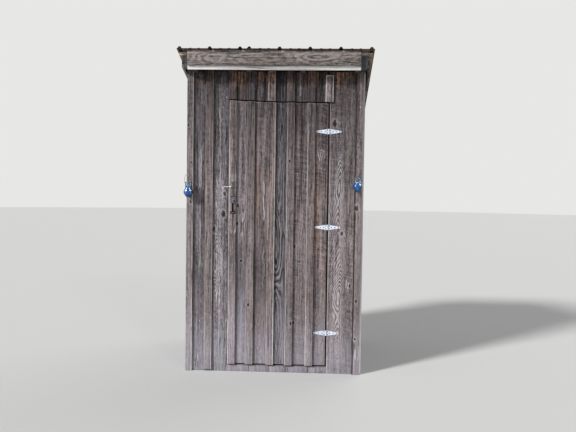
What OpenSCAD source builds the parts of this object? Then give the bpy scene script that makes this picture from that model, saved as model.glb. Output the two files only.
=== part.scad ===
// Weathered board-and-batten outhouse with a shed roof of ribbed metal sheets.
// Millimetres. +X is right as seen from the front, the front faces -Y, +Z is up.
// The origin lies on the ground under the middle of the roof.

/* [Plan] */
// Width over the corner boards
plan_w = 1372; // [1300:1:1600]
// Depth over the corner boards
plan_d = 1372; // [1200:1:1700]

/* [Timber] */
// Thickness of the rough-sawn wall boards
board_t = 25; // [22:1:30]
// Thickness of battens, corner boards and frieze boards
trim_t = 19; // [14:1:24]
// Width of a batten
batten_w = 58; // [45:1:65]
// Width of a short batten over the door
head_batten_w = 55; // [45:1:65]
// Side of a square post
post_s = 89; // [75:1:100]
// Thickness of the sawn framing
rail_t = 38; // [32:1:45]
// Depth of the sawn framing on edge
rail_h = 89; // [75:1:100]
// Thickness of the floor boards
floor_t = 22; // [18:1:28]
// Number of floor joists
joist_count = 5; // [3:2:7]
// Height of the girts above the floor
girt_rise = 1040; // [900:1:1200]
// Number of boards across a side or the back
side_boards = 9; // [7:1:11]
// Height of the batten ends above the ground
batten_lift = 14; // [8:1:30]
// Rise of the front boards between the rafters, above the underside of the rafters
board_rise = 20; // [0:1:40]
// Clear gap between a rafter and the boards notched round it
notch_gap = 1; // [0.5:0.5:3]

/* [Corner trim] */
// Width of the left front corner board
corner_left_w = 50; // [40:1:60]
// Width of the right front corner board
corner_right_w = 57; // [45:1:65]
// Setback of the right front corner board from the corner
corner_setback = 13; // [8:1:18]
// Width of the other corner boards
corner_w = 64; // [50:1:80]
// Depth of the sloping frieze board under the roof
frieze_h = 89; // [70:1:110]

/* [Doorway] */
// Shift of the door to the right of the middle of the building
door_shift = 25.5; // [0:0.5:40]
// Width of the door
door_w = 763; // [720:1:790]
// From the top of the roof sheathing at the eave down to the hinged end of the door's top edge
head_drop = 379; // [360:1:460]
// Height of the foot of the door above the ground
door_z = 64; // [56:1:80]
// Rise of the sawn top edge at its bend
cut_rise_bend = 3; // [0:1:8]
// Rise of the sawn top edge at the free edge
cut_rise_free = 16; // [4:1:20]
// From the free edge to the bend in the sawn top edge
cut_bend_in = 351; // [250:1:450]
// Clear gap at the free edge
gap_free = 6; // [5:0.5:9]
// Clear gap at the hinged edge
gap_hinge = 12; // [10:1:16]
// Clear gap over the door
gap_head = 10; // [8:1:14]
// Clear gap under the door
gap_foot = 10; // [8:1:14]
// Lap of the posts behind the edges of the door
stop_lap = 15; // [10:1:20]
// Clear gap between the back of the door and its stops
stop_gap = 5; // [5:0.5:8]
// Width of the outermost board of the left front wall
left_board_w = 157; // [140:1:175]

/* [Door leaf] */
// Width of the door board at the free edge
free_board_w = 169; // [150:1:185]
// Width of the next door board
second_board_w = 161; // [140:1:175]
// Width of the door board before the one that carries the hinges
fourth_board_w = 159; // [140:1:175]
// Overhang of the door battens below the boards
batten_drop = 4; // [0:1:4]
// Sideways shift of the battens over the door
head_batten_shift = -4; // [-8:1:8]
// Width of the batten over the hinged joint
joint_batten_w = 60; // [50:1:64]
// Height of the ledges on the back of the door
ledge_h = 120; // [90:1:150]
// Thickness of the ledges and braces
ledge_t = 22; // [18:1:28]
// Clear gap between the ledge ends and the posts
ledge_gap = 12; // [8:1:16]
// Width of a brace along its foot
brace_w = 130; // [100:1:160]

/* [Strap hinges] */
// Height of the lowest hinge above the foot of the door
hinge_foot_in = 254; // [200:1:300]
// From the top of the door down to the highest hinge
hinge_top_in = 216; // [180:1:280]
// Rise of the middle hinge above the mean of the other two
hinge_mid_shift = 43; // [0:1:60]
// Clear gap between the tip of a leaf and the nearest batten
leaf_clear = 6; // [4:1:12]
// Length of a leaf from the pin
leaf_l = 99; // [90:1:104]
// Height of a leaf beside the knuckles
leaf_h = 38; // [32:1:44]
// Height of a leaf at its tip
leaf_tip_h = 12; // [8:1:18]
// Thickness of the strap metal
leaf_t = 2; // [1.5:0.1:2.5]
// Outer radius of the knuckles
knuckle_r = 4.75; // [4:0.05:5.5]
// Radius of the hinge pin
pin_r = 2.4; // [2:0.05:2.8]
// Running clearance around the hinge pin
pin_clear = 0.05; // [0.02:0.01:0.1]
// Clear gap between two knuckles
knuckle_gap = 0.5; // [0.3:0.1:1]

/* [Pull and latch] */
// Height of the foot of the pull above the foot of the door
pull_rise = 1172; // [1100:1:1250]
// From the free edge of the door to the middle of the pull
pull_in = 34; // [28:1:38]
// Length of the pull
pull_l = 138; // [120:1:150]
// Width of the plate and the foot of the pull
pull_foot_w = 40; // [36:1:42]
// Height of the foot of the pull
pull_foot_h = 22; // [18:1:26]
// Height of the plate at the top of the pull
pull_plate_h = 50; // [44:1:56]
// Size of the clipped corners of the plate and the foot
pull_corner = 4; // [2:0.5:6]
// Depth of the upper end of the grip below the top of the plate
pull_grip_in = 20; // [14:1:26]
// Width of the grip
pull_grip_w = 13; // [10:1:18]
// Reach of the grip out of the door
pull_reach = 32; // [26:1:38]
// Thickness of the pull
pull_t = 3; // [2:0.5:4]
// Height of the latch above the foot of the door
latch_rise = 1382; // [1340:1:1420]
// From the free edge of the door to the latch pivot
latch_in = 13; // [11:1:18]
// Length of the latch hook between pivot and tip
latch_l = 56; // [50:1:64]
// Thickness of the latch wire
latch_wire_d = 4; // [3.5:0.1:4.5]
// Gap between the hook tip and the eye below it
latch_clear = 5; // [5:0.5:8]

/* [Roof] */
// Slope of the roof, falling to the back
roof_angle = 14; // [8:0.5:16]
// Height of the top of the sheathing at the front fascia
eave_z = 2475; // [2400:1:2600]
// Reach of the fascias beyond the corner boards
eave = 120; // [105:1:160]
// Thickness of the fascia and its backing board
fascia_t = 19; // [16:1:25]
// Height of the front fascia
fascia_h = 115; // [100:1:120]
// Height of the backing board behind the front fascia
backer_h = 140; // [130:1:150]
// Left end of the front fascia, from the left side of the building
fascia_left_in = 19; // [5:1:40]
// Right end of the front fascia, from the right side of the building
fascia_right_in = 40; // [20:1:60]
// Reach of the metal beyond the side walls
rake = 58; // [50:1:80]
// Reach of the metal beyond the ends of the sheathing
sheet_lap_edge = 9; // [5:1:15]
// Thickness of the roof sheathing
sheathing_t = 25; // [20:1:30]
// Thickness of the barge boards
barge_t = 20; // [16:1:25]
// Inset of the barge boards from the edge of the metal
barge_in = 30; // [20:1:36]
// Number of rafters
rafter_count = 4; // [3:1:5]
// Depth of the seat cut in a rafter where it is shallowest
seat_cut = 6; // [3:1:10]

/* [Roof metal] */
// Thickness of the sheet metal
sheet_t = 0.8; // [0.6:0.1:1.2]
// Distance between ribs
rib_pitch = 228.6; // [200:0.1:250]
// Height of a rib
rib_h = 15; // [10:1:22]
// Width of a rib at its foot
rib_foot = 34; // [28:1:46]
// Width of a rib at its top
rib_top = 13; // [9:1:22]
// Width of a small stiffening bead between ribs
bead_w = 22; // [16:1:28]
// Height of a stiffening bead
bead_h = 3; // [2:0.5:5]
// From the edge of a sheet to the middle of its first rib
rib_in = 24; // [23.5:0.5:28]
// Reach of the metal below the fascia edge
drip = 25; // [15:1:40]

/* [Hanging jars] */
// Height of the left nail above the ground
jar_left_nail_z = 1536; // [1450:1:1650]
// Height of the right nail above the ground
jar_right_nail_z = 1594; // [1450:1:1650]
// Largest radius of a jar
jar_r = 37; // [32:1:40]
// Radius of the neck of a jar
jar_neck_r = 25; // [22:1:28]
// Height of a jar
jar_h = 118; // [110:1:130]
// Height of the rounded bowl of a jar up to its neck
jar_bowl_h = 68; // [60:1:74]
// Thickness of the glass
glass_t = 3; // [2:0.5:4]
// From the bottom of a jar up to its nail
jar_hang = 176; // [165:1:190]
// Radius of the hanging wire
wire_r = 1.25; // [1:0.05:1.6]
// Radius of a nail
nail_r = 2; // [1.5:0.1:2.5]

/* [Hidden] */
$fn = 48;
EPS = 0.01;
// Clearance between sloping faces that rest on each other
slope_gap = 0.03;

half_w = plan_w / 2;
half_d = plan_d / 2;
// Outer faces of the boarding
face_x = half_w - trim_t;
face_y = half_d - trim_t;
// Outer faces of the frame
frame_x = face_x - board_t;
frame_y = face_y - board_t;
post_x = frame_x - post_s;
post_y = frame_y - post_s;
floor_z = rail_h + floor_t;
girt_z = floor_z + girt_rise;

// Roof surfaces above a place y
eave_y = half_d + eave;
function roof_z(y) = eave_z - (y + eave_y) * tan(roof_angle);
function under_sheathing(y) = roof_z(y) - sheathing_t / cos(roof_angle);
function under_rafter(y) = under_sheathing(y) - rail_h / cos(roof_angle);
backer_y = eave_y - fascia_t;
sub_y = backer_y - fascia_t;
tail_y = sub_y - rail_t;
front_plate_z = under_rafter(-frame_y) + seat_cut;
back_plate_z = under_rafter(post_y) + seat_cut;
front_top_z = under_rafter(-frame_y);
back_top_z = under_rafter(face_y);
front_trim_z = under_rafter(-face_y);
board_top_z = front_top_z + board_rise;
trim_top_z = front_trim_z + board_rise;
back_trim_z = under_rafter(half_d);
roof_x = half_w + rake;
sheathing_x = roof_x - sheet_lap_edge;
barge_x = roof_x - barge_in;
rafter_step = (2 * frame_x - rail_t) / (rafter_count - 1);

// Doorway
door_x0 = door_shift - door_w / 2;
door_x1 = door_shift + door_w / 2;
joint_x = door_x1 + gap_hinge;
door_back_y = -frame_y - stop_gap;
door_top = eave_z - head_drop;
cut_bend_x = door_x0 + cut_bend_in;
// The top edge of the door is a saw cut with one bend
function cut_z(x) = x < cut_bend_x
    ? door_top + cut_rise_bend + (cut_rise_free - cut_rise_bend) * (cut_bend_x - x) / cut_bend_in
    : door_top + cut_rise_bend * (door_x1 - x) / (door_x1 - cut_bend_x);
post_left_x = door_x0 + stop_lap;
post_right_x = door_x1 - stop_lap;
header_z = door_top - stop_lap;
left_joint_x = -face_x + left_board_w;

// Hinges: the pin stands in the gap, in front of the boards
pin_x = door_x1 + gap_hinge / 2;
pin_y = -face_y - knuckle_r;
knuckle_l = (leaf_h - 2 * knuckle_gap) / 3;
low_hinge_z = door_z + hinge_foot_in;
high_hinge_z = door_top - hinge_top_in;
hinge_zs = [low_hinge_z, (low_hinge_z + high_hinge_z) / 2 + hinge_mid_shift, high_hinge_z];

// Middles of the door battens: one flush with the free edge, one over each joint of the boards.
// The last stands clear of the hinges, and the board between the third and the fourth takes up the rest.
last_batten_x = pin_x - leaf_l - leaf_clear - batten_w / 2;
door_batten_xs = [
    door_x0 + batten_w / 2,
    door_x0 + free_board_w,
    door_x0 + free_board_w + second_board_w,
    last_batten_x - fourth_board_w,
    last_batten_x,
];

// Pull and latch stand on the first door batten
pull_x = door_x0 + pull_in;
pull_z = door_z + pull_rise;
latch_x = door_x0 + latch_in;
latch_z = door_z + latch_rise;
latch_ring_r = 6.5;
latch_ring_t = 3;
latch_screw_r = 2.2;
latch_screw_l = 12;
latch_head_r = 4.6;
latch_head_t = 2.5;
latch_bend_r = 5;
latch_tip_l = 10;
latch_y = -half_d - latch_screw_l + latch_ring_t / 2 + knuckle_gap;

// Roof metal: the right sheet laps over the left one
sheet_run = (2 * eave_y + drip * cos(roof_angle) - (rib_h + 2 * sheet_t) * sin(roof_angle))
    / cos(roof_angle);
right_ribs = 5;
right_first_x = roof_x - rib_in - (right_ribs - 1) * rib_pitch;
right_sheet_x = right_first_x - rib_in;
left_rib_x = rib_in - roof_x;
left_ribs = 1 + floor((right_sheet_x - rib_foot / 2 - left_rib_x) / rib_pitch);
side_lap = 80;
bead_share = 0.36;

// Hanging jars
jar_y = -half_d - jar_r;
jar_left_x = -half_w + corner_left_w / 2 - 3;
jar_right_x = half_w - corner_setback - corner_right_w / 2 - 5;
jar_mid_z = jar_bowl_h - sqrt(jar_r * jar_r - jar_neck_r * jar_neck_r);
jar_lip_h = 5;
jar_lip = 2.5;

// A box from its low and high corner
module block(low, high) {
    translate(low) cube(high - low);
}

// An outline drawn in (y, z), as thick as t from x on
module across(x, t) {
    translate([x, 0, 0]) rotate([90, 0, 90]) linear_extrude(t) children();
}

// An outline drawn in (x, z), as thick as t from y on
module facing(y, t) {
    translate([0, y + t, 0]) rotate([90, 0, 0]) linear_extrude(t) children();
}

// The same shape on the left and on the right
module both_sides() {
    children();
    mirror([1, 0, 0]) children();
}

// An outline in (y, z) between two lines that follow the underside of the sheathing
module under_roof(y0, y1, low, high) {
    polygon([
        [y0, under_sheathing(y0) - low],
        [y1, under_sheathing(y1) - low],
        [y1, under_sheathing(y1) - high],
        [y0, under_sheathing(y0) - high],
    ]);
}

// An outline in (y, z) from a level foot up to a line under the sheathing
module side_outline(y0, y1, foot, drop) {
    polygon([
        [y0, foot],
        [y1, foot],
        [y1, under_sheathing(y1) - drop],
        [y0, under_sheathing(y0) - drop],
    ]);
}

// Floor

module floor_rims() {
    color("#6f6257")
    for (y = [-frame_y, frame_y - rail_t])
        block([-frame_x, y, 0], [frame_x, y + rail_t, rail_h]);
}

module floor_joists() {
    step = (2 * frame_x - rail_t) / (joist_count - 1);
    color("#6f6257")
    for (i = [0 : joist_count - 1])
        translate([-frame_x + i * step, rail_t - frame_y, 0])
            cube([rail_t, 2 * (frame_y - rail_t), rail_h]);
}

module floor_boards() {
    color("#867a70")
    block([-frame_x, -frame_y, rail_h], [frame_x, frame_y, floor_z]);
}

// Frame

module corner_posts() {
    color("#7d7067")
    both_sides() {
        block([post_x, -frame_y, floor_z], [frame_x, -post_y, front_plate_z - rail_t]);
        block([post_x, post_y, floor_z], [frame_x, frame_y, back_plate_z - rail_t]);
    }
}

module door_posts() {
    color("#7d7067")
    for (x = [post_left_x - post_s, post_right_x])
        block([x, -frame_y, floor_z], [x + post_s, -post_y, front_plate_z - rail_t]);
}

module wall_plates() {
    color("#7d7067") {
        block([-frame_x, -frame_y, front_plate_z - rail_t], [frame_x, -post_y, front_plate_z]);
        block([-frame_x, post_y, back_plate_z - rail_t], [frame_x, frame_y, back_plate_z]);
    }
}

module door_header() {
    color("#7d7067")
    block([post_left_x, -frame_y, header_z], [post_right_x, rail_t - frame_y, header_z + rail_h]);
}

module wall_girts() {
    color("#7d7067") {
        both_sides()
            block([frame_x - rail_t, -post_y, girt_z], [frame_x, post_y, girt_z + rail_h]);
        block([-post_x, frame_y - rail_t, girt_z], [post_x, frame_y, girt_z + rail_h]);
        block([-post_x, -frame_y, girt_z], [post_left_x - post_s, rail_t - frame_y, girt_z + rail_h]);
        block([post_right_x + post_s, -frame_y, girt_z], [post_x, rail_t - frame_y, girt_z + rail_h]);
    }
}

// Boarding

// Front boards with their top ends notched round the rafters, from a height z up
module notched(z) {
    difference() {
        children();
        for (i = [0 : rafter_count - 1]) {
            x = -frame_x + i * rafter_step;
            block([x - notch_gap, -half_d - 1, z], [x + rail_t + notch_gap, 1 - frame_y, z + board_rise + 1]);
        }
    }
}

module left_front_boards() {
    color("#8f8580")
    notched(front_top_z)
        block([-face_x, -face_y, 0], [door_x0 - gap_free, -frame_y, board_top_z]);
}

module hinge_side_board() {
    color("#8f8580")
    notched(front_top_z)
        block([joint_x, -face_y, 0], [face_x, -frame_y, board_top_z]);
}

module over_door_boards() {
    x0 = door_x0 - gap_free;
    color("#6d625f")
    notched(front_top_z) facing(-face_y, board_t)
        polygon([
            [x0, cut_z(x0) + gap_head],
            [cut_bend_x, cut_z(cut_bend_x) + gap_head],
            [joint_x, door_top + gap_head],
            [joint_x, board_top_z],
            [x0, board_top_z],
        ]);
}

module door_sill_board() {
    color("#7c726c")
    block([door_x0 - gap_free, -face_y, 0], [joint_x, -frame_y, door_z - gap_foot]);
}

// One upright batten on the front, from a sloping cut up between the rafters
module head_batten(x, w) {
    facing(-half_d, trim_t)
        polygon([
            [x - w / 2, cut_z(x - w / 2) + gap_head],
            [x + w / 2, cut_z(x + w / 2) + gap_head],
            [x + w / 2, trim_top_z],
            [x - w / 2, trim_top_z],
        ]);
}

module front_battens() {
    color("#958b86")
    notched(front_trim_z) {
        block(
            [left_joint_x - batten_w / 2, -half_d, batten_lift],
            [left_joint_x + batten_w / 2, -face_y, trim_top_z]
        );
        for (x = door_batten_xs)
            head_batten(x + head_batten_shift, head_batten_w);
    }
    color("#c9c4bf")
    notched(front_trim_z)
        block(
            [pin_x - joint_batten_w / 2, -half_d, door_top + gap_head],
            [pin_x + joint_batten_w / 2, -face_y, trim_top_z]
        );
}

module side_wall() {
    across(frame_x, board_t) side_outline(-frame_y, frame_y, 0, 0);
}

// Battens over the joints between two corner boards, spaced evenly
module side_battens() {
    pitch = 2 * face_y / side_boards;
    for (i = [1 : side_boards - 1]) {
        y = -face_y + i * pitch;
        across(face_x, trim_t)
            side_outline(y - batten_w / 2, y + batten_w / 2, batten_lift, frieze_h + slope_gap);
    }
}

module left_wall_boards() {
    color("#8a807b") mirror([1, 0, 0]) side_wall();
}

module left_wall_battens() {
    color("#958b86") mirror([1, 0, 0]) side_battens();
}

module right_wall_boards() {
    color("#8a807b") side_wall();
}

module right_wall_battens() {
    color("#958b86") side_battens();
}

module back_wall_boards() {
    color("#8a807b")
    block([-face_x, frame_y, 0], [face_x, face_y, back_top_z]);
}

module back_wall_battens() {
    pitch = 2 * face_x / side_boards;
    color("#958b86")
    for (i = [1 : side_boards - 1])
        translate([i * pitch - face_x - batten_w / 2, face_y, batten_lift])
            cube([batten_w, trim_t, back_trim_z - batten_lift]);
}

// Corner boards on the front and the back
module end_corner_boards() {
    right_x = half_w - corner_setback;
    color("#978d88") {
        notched(front_trim_z) {
            block([-half_w, -half_d, 0], [corner_left_w - half_w, -face_y, trim_top_z]);
            block([right_x - corner_right_w, -half_d, 0], [right_x, -face_y, trim_top_z]);
        }
        both_sides()
            block([half_w - corner_w, face_y, 0], [half_w, half_d, back_trim_z]);
    }
}

// Corner boards on the sides, up to the frieze
module side_corner_boards() {
    color("#8f8580")
    both_sides()
        across(face_x, trim_t) {
            side_outline(-face_y, corner_w - face_y, 0, frieze_h + slope_gap);
            side_outline(face_y - corner_w, face_y, 0, frieze_h + slope_gap);
        }
}

module frieze_boards() {
    color("#7f756f")
    both_sides()
        across(face_x, trim_t) under_roof(-face_y, face_y, 0, frieze_h);
}

// Roof frame

// A rafter with level seats cut over both wall plates and plumb ends
module rafter_outline() {
    difference() {
        under_roof(-tail_y, tail_y, 0, rail_h / cos(roof_angle));
        translate([-frame_y, front_plate_z - rail_h]) square([post_s, rail_h]);
        translate([post_y, back_plate_z - rail_h]) square([post_s, rail_h]);
    }
}

module rafters() {
    color("#8a7b6c")
    for (i = [0 : rafter_count - 1])
        across(-frame_x + i * rafter_step, rail_t) rafter_outline();
}

// Blocks between the rafters, over the wall plates
module eave_blocks() {
    color("#8a7b6c")
    for (i = [0 : rafter_count - 2])
        across(-frame_x + i * rafter_step + rail_t, rafter_step - rail_t) {
            side_outline(-frame_y, rail_t - frame_y, front_plate_z, 0);
            side_outline(frame_y - rail_t, frame_y, back_plate_z, 0);
        }
}

// Rails across the rafter ends, from one barge board to the other
module sub_fascias() {
    color("#6a625a")
    across(barge_t - barge_x, 2 * (barge_x - barge_t)) {
        under_roof(-sub_y, -tail_y, 0, rail_h / cos(roof_angle));
        under_roof(tail_y, sub_y, 0, rail_h / cos(roof_angle));
    }
}

module barge_boards() {
    color("#a39d98")
    both_sides()
        across(barge_x - barge_t, barge_t) under_roof(-sub_y, sub_y, 0, rail_h / cos(roof_angle));
}

module roof_sheathing() {
    color("#b59f88")
    across(-sheathing_x, 2 * sheathing_x)
        under_roof(-sub_y, sub_y, -sheathing_t / cos(roof_angle), -slope_gap);
}

// A fascia board: its top edge is bevelled to the slope of the roof
module fascia_outline(y0, foot) {
    polygon([
        [y0, foot],
        [y0 + fascia_t, foot],
        [y0 + fascia_t, roof_z(y0 + fascia_t)],
        [y0, roof_z(y0)],
    ]);
}

module front_fascia() {
    length = 2 * half_w - fascia_left_in - fascia_right_in;
    color("#8d837e")
    across(fascia_left_in - half_w, length) fascia_outline(-eave_y, eave_z - fascia_h);
}

module front_fascia_backer() {
    length = 2 * half_w - fascia_left_in - fascia_right_in;
    color("#b3afab")
    across(fascia_left_in - half_w, length)
        fascia_outline(-backer_y, roof_z(-backer_y) - backer_h);
}

module back_fascia() {
    color("#8d837e")
    across(-sheathing_x, 2 * sheathing_x)
        fascia_outline(sub_y, roof_z(backer_y) - backer_h);
}

// Roof metal

// Underside of a sheet as points (x, height): ribs with two small beads in each bay between them
function rib_points(x) = [
    [x - rib_foot / 2, 0], [x - rib_top / 2, rib_h], [x + rib_top / 2, rib_h], [x + rib_foot / 2, 0],
];
function bead_points(x) = [
    [x - bead_w / 2, 0], [x - bead_w / 4, bead_h], [x + bead_w / 4, bead_h], [x + bead_w / 2, 0],
];
function sheet_points(first_x, ribs) = [
    for (i = [0 : ribs - 1])
        let (x = first_x + i * rib_pitch)
            each i < ribs - 1
                ? concat(
                    rib_points(x),
                    bead_points(x + bead_share * rib_pitch),
                    bead_points(x + (1 - bead_share) * rib_pitch)
                )
                : rib_points(x),
];
function reversed(list) = [for (i = [len(list) - 1 : -1 : 0]) list[i]];
function thick_outline(points) = concat(
    points, [for (point = reversed(points)) point + [0, sheet_t]]
);

// Puts a sheet outline, drawn in (x, height), on the roof
module on_roof(lift) {
    translate([0, -eave_y, eave_z]) rotate([-roof_angle, 0, 0])
        translate([0, sheet_run, lift + slope_gap]) rotate([90, 0, 0])
            linear_extrude(sheet_run + drip) children();
}

module left_roof_sheet() {
    points = concat(
        [[-roof_x, 0]], sheet_points(left_rib_x, left_ribs), [[right_sheet_x + side_lap, 0]]
    );
    color("#6f7274") on_roof(0) polygon(thick_outline(points));
}

module right_roof_sheet() {
    points = concat(
        [[right_sheet_x, 0]], sheet_points(right_first_x, right_ribs), [[roof_x, 0]]
    );
    color("#6f7274") on_roof(sheet_t) polygon(thick_outline(points));
}

// Strap hinges

// A leaf in (x, z) around its pin, pointing to +X: straight beside the knuckles, then tapering
module leaf_outline() {
    tip_x = leaf_l - leaf_tip_h / 2;
    root_x = knuckle_r + 1;
    polygon([
        [root_x, -leaf_h / 2],
        [root_x + 8, -leaf_h / 2],
        [tip_x, -leaf_tip_h / 2],
        [leaf_l, 0],
        [tip_x, leaf_tip_h / 2],
        [root_x + 8, leaf_h / 2],
        [root_x, leaf_h / 2],
    ]);
}

// One knuckle with its short tongue to the leaf
module knuckle(z0) {
    translate([0, 0, z0]) cylinder(r = knuckle_r, h = knuckle_l);
    translate([0, knuckle_r - leaf_t, z0]) cube([knuckle_r + 1 + EPS, leaf_t, knuckle_l]);
}

// A leaf on its pin axis, pointing to +X; its knuckles are numbered from the bottom
module leaf(knuckles) {
    facing(knuckle_r - leaf_t, leaf_t) leaf_outline();
    for (i = knuckles)
        knuckle(-leaf_h / 2 + i * (knuckle_l + knuckle_gap));
}

module at_hinges() {
    for (z = hinge_zs)
        translate([pin_x, pin_y, z]) children();
}

module hinge_wall_leaves() {
    color("#d4d6d8")
    at_hinges()
        difference() {
            leaf([0, 2]);
            cylinder(r = pin_r, h = 2 * leaf_h, center = true);
        }
}

module hinge_door_leaves() {
    color("#d4d6d8")
    at_hinges()
        difference() {
            mirror([1, 0, 0]) leaf([1]);
            cylinder(r = pin_r + pin_clear, h = 2 * leaf_h, center = true);
        }
}

module hinge_pins() {
    color("#bfc2c4")
    at_hinges() {
        translate([0, 0, -leaf_h / 2]) cylinder(r = pin_r, h = leaf_h);
        for (side = [-1, 1])
            translate([0, 0, side * (leaf_h / 2 + 1)]) cylinder(r = pin_r + 1, h = 2, center = true);
    }
}

// Door

module door_boards() {
    color("#948a86")
    facing(-face_y, face_y + door_back_y)
        polygon([
            [door_x0, door_z],
            [door_x1, door_z],
            [door_x1, door_top],
            [cut_bend_x, cut_z(cut_bend_x)],
            [door_x0, cut_z(door_x0)],
        ]);
}

module door_battens() {
    color("#9b918c")
    for (x = door_batten_xs)
        facing(-half_d, trim_t)
            polygon([
                [x - batten_w / 2, door_z - batten_drop],
                [x + batten_w / 2, door_z - batten_drop],
                [x + batten_w / 2, cut_z(x + batten_w / 2)],
                [x - batten_w / 2, cut_z(x - batten_w / 2)],
            ]);
}

module door_ledges() {
    color("#8a7f78")
    for (z = hinge_zs)
        block(
            [post_left_x + ledge_gap, door_back_y, z - ledge_h / 2],
            [post_right_x - ledge_gap, door_back_y + ledge_t, z + ledge_h / 2]
        );
}

// Braces rise from the hinged edge to the free edge between two ledges
module door_braces() {
    x0 = post_left_x + ledge_gap;
    x1 = post_right_x - ledge_gap;
    color("#8a7f78")
    facing(door_back_y, ledge_t)
        for (i = [0 : len(hinge_zs) - 2]) {
            z0 = hinge_zs[i] + ledge_h / 2;
            z1 = hinge_zs[i + 1] - ledge_h / 2;
            polygon([[x1 - brace_w, z0], [x1, z0], [x0 + brace_w, z1], [x0, z1]]);
        }
}

// The grip is a bowed strap from the middle of the tall plate to the small foot
module pull_handle() {
    low = pull_foot_h / 2;
    high = pull_l - pull_grip_in;
    span = high - low;
    radius = (span * span / 4 + pull_reach * pull_reach) / (2 * pull_reach);
    color("#5d5a63")
    translate([pull_x, -half_d, pull_z]) {
        pull_plate(0, pull_foot_h);
        pull_plate(pull_l - pull_plate_h, pull_l);
        intersection() {
            translate([-pull_grip_w / 2, radius - pull_reach, (low + high) / 2]) rotate([0, 90, 0])
                difference() {
                    cylinder(r = radius, h = pull_grip_w, $fn = 96);
                    translate([0, 0, -1]) cylinder(r = radius - pull_t, h = pull_grip_w + 2, $fn = 96);
                }
            block([-pull_grip_w, -2 * pull_reach, 0], [pull_grip_w, 0, pull_l]);
        }
    }
}

module pull_plate(z0, z1) {
    x = pull_foot_w / 2;
    c = pull_corner;
    facing(-pull_t, pull_t)
        polygon([
            [-x + c, z0], [x - c, z0], [x, z0 + c], [x, z1 - c],
            [x - c, z1], [-x + c, z1], [-x, z1 - c], [-x, z0 + c],
        ]);
}

// Latch: a hook that turns on a screw in the door batten and drops into an eye on the wall

module latch_pivot() {
    color("#c8cacc")
    translate([latch_x, -half_d, latch_z]) rotate([90, 0, 0]) {
        cylinder(r = latch_screw_r, h = latch_screw_l + latch_head_t);
        translate([0, 0, latch_screw_l]) cylinder(r = latch_head_r, h = latch_head_t);
    }
}

module latch_hook() {
    bar_x = 1 - latch_ring_r;
    bend_x = latch_bend_r - latch_l;
    color("#d4d6d8")
    translate([latch_x, latch_y, latch_z]) {
        difference() {
            rotate([90, 0, 0]) cylinder(r = latch_ring_r, h = latch_ring_t, center = true);
            rotate([90, 0, 0])
                cylinder(r = latch_screw_r + pin_clear, h = 2 * latch_ring_t, center = true);
        }
        translate([bar_x, 0, 0]) rotate([0, -90, 0])
            cylinder(d = latch_wire_d, h = bar_x - bend_x);
        translate([bend_x, 0, -latch_bend_r]) rotate([90, 0, 0]) rotate([0, 0, 90])
            rotate_extrude(angle = 90) translate([latch_bend_r, 0]) circle(d = latch_wire_d);
        translate([-latch_l, 0, -latch_tip_l])
            cylinder(d = latch_wire_d, h = latch_tip_l - latch_bend_r);
    }
}

// The eye stands out of the boarding under the tip of the hook
module latch_keeper() {
    eye_r = 6;
    eye_wire = 1.6;
    reach = -face_y - latch_y;
    color("#bfc2c4")
    translate([latch_x - latch_l, latch_y, latch_z - latch_tip_l - latch_clear - eye_wire]) {
        rotate_extrude() translate([eye_r, 0]) circle(r = eye_wire, $fn = 24);
        translate([0, eye_r, 0]) rotate([-90, 0, 0])
            cylinder(r = eye_wire, h = reach - eye_r);
    }
}

// Hanging jars

module at_jars() {
    translate([jar_left_x, jar_y, jar_left_nail_z - jar_hang]) children();
    translate([jar_right_x, jar_y, jar_right_nail_z - jar_hang]) children();
}

// Half outline of a jar surface (radius, height): a round bowl below a straight neck
function bowl_points(r, neck) = [
    for (i = [0 : 12])
        let (a = -60 + i * (60 + acos(neck / r)) / 12)
            [r * cos(a), jar_mid_z + r * sin(a)],
];

module lantern_jars() {
    outer = bowl_points(jar_r, jar_neck_r);
    inner = bowl_points(jar_r - glass_t, jar_neck_r - glass_t);
    color("#1f62c4")
    at_jars()
        rotate_extrude()
            polygon(concat(
                [[0, 0], [outer[0][0], 0]],
                outer,
                [
                    [jar_neck_r, jar_h - jar_lip_h],
                    [jar_neck_r + jar_lip, jar_h - jar_lip_h],
                    [jar_neck_r + jar_lip, jar_h],
                    [jar_neck_r - glass_t, jar_h],
                ],
                reversed(inner),
                [[inner[0][0], glass_t + 2], [0, glass_t + 2]]
            ));
}

// A ring under the lip of the jar, a bail over the nail, and the nail
module lantern_hangers() {
    ring_z = jar_h - jar_lip_h - wire_r;
    bail_r = jar_neck_r + 4;
    top_z = jar_hang + nail_r + wire_r;
    nail_l = jar_r + 8;
    color("#8d8f92")
    at_jars() {
        translate([0, 0, ring_z]) rotate_extrude()
            translate([jar_neck_r + wire_r, 0]) circle(r = wire_r, $fn = 24);
        translate([0, 0, top_z - bail_r]) rotate([90, 0, 0])
            rotate_extrude(angle = 180) translate([bail_r, 0]) circle(r = wire_r, $fn = 24);
        for (side = [-1, 1]) {
            translate([side * bail_r, 0, ring_z - wire_r])
                cylinder(r = wire_r, h = top_z - bail_r - ring_z + wire_r, $fn = 24);
            translate([side * (jar_neck_r + wire_r), 0, ring_z]) rotate([0, side * 90, 0])
                cylinder(r = wire_r, h = bail_r - jar_neck_r - wire_r, $fn = 24);
        }
        translate([0, jar_r, jar_hang]) rotate([90, 0, 0]) {
            cylinder(r = nail_r, h = nail_l);
            translate([0, 0, nail_l - 1.5]) cylinder(r = 2 * nail_r, h = 1.5);
        }
    }
}

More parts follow.
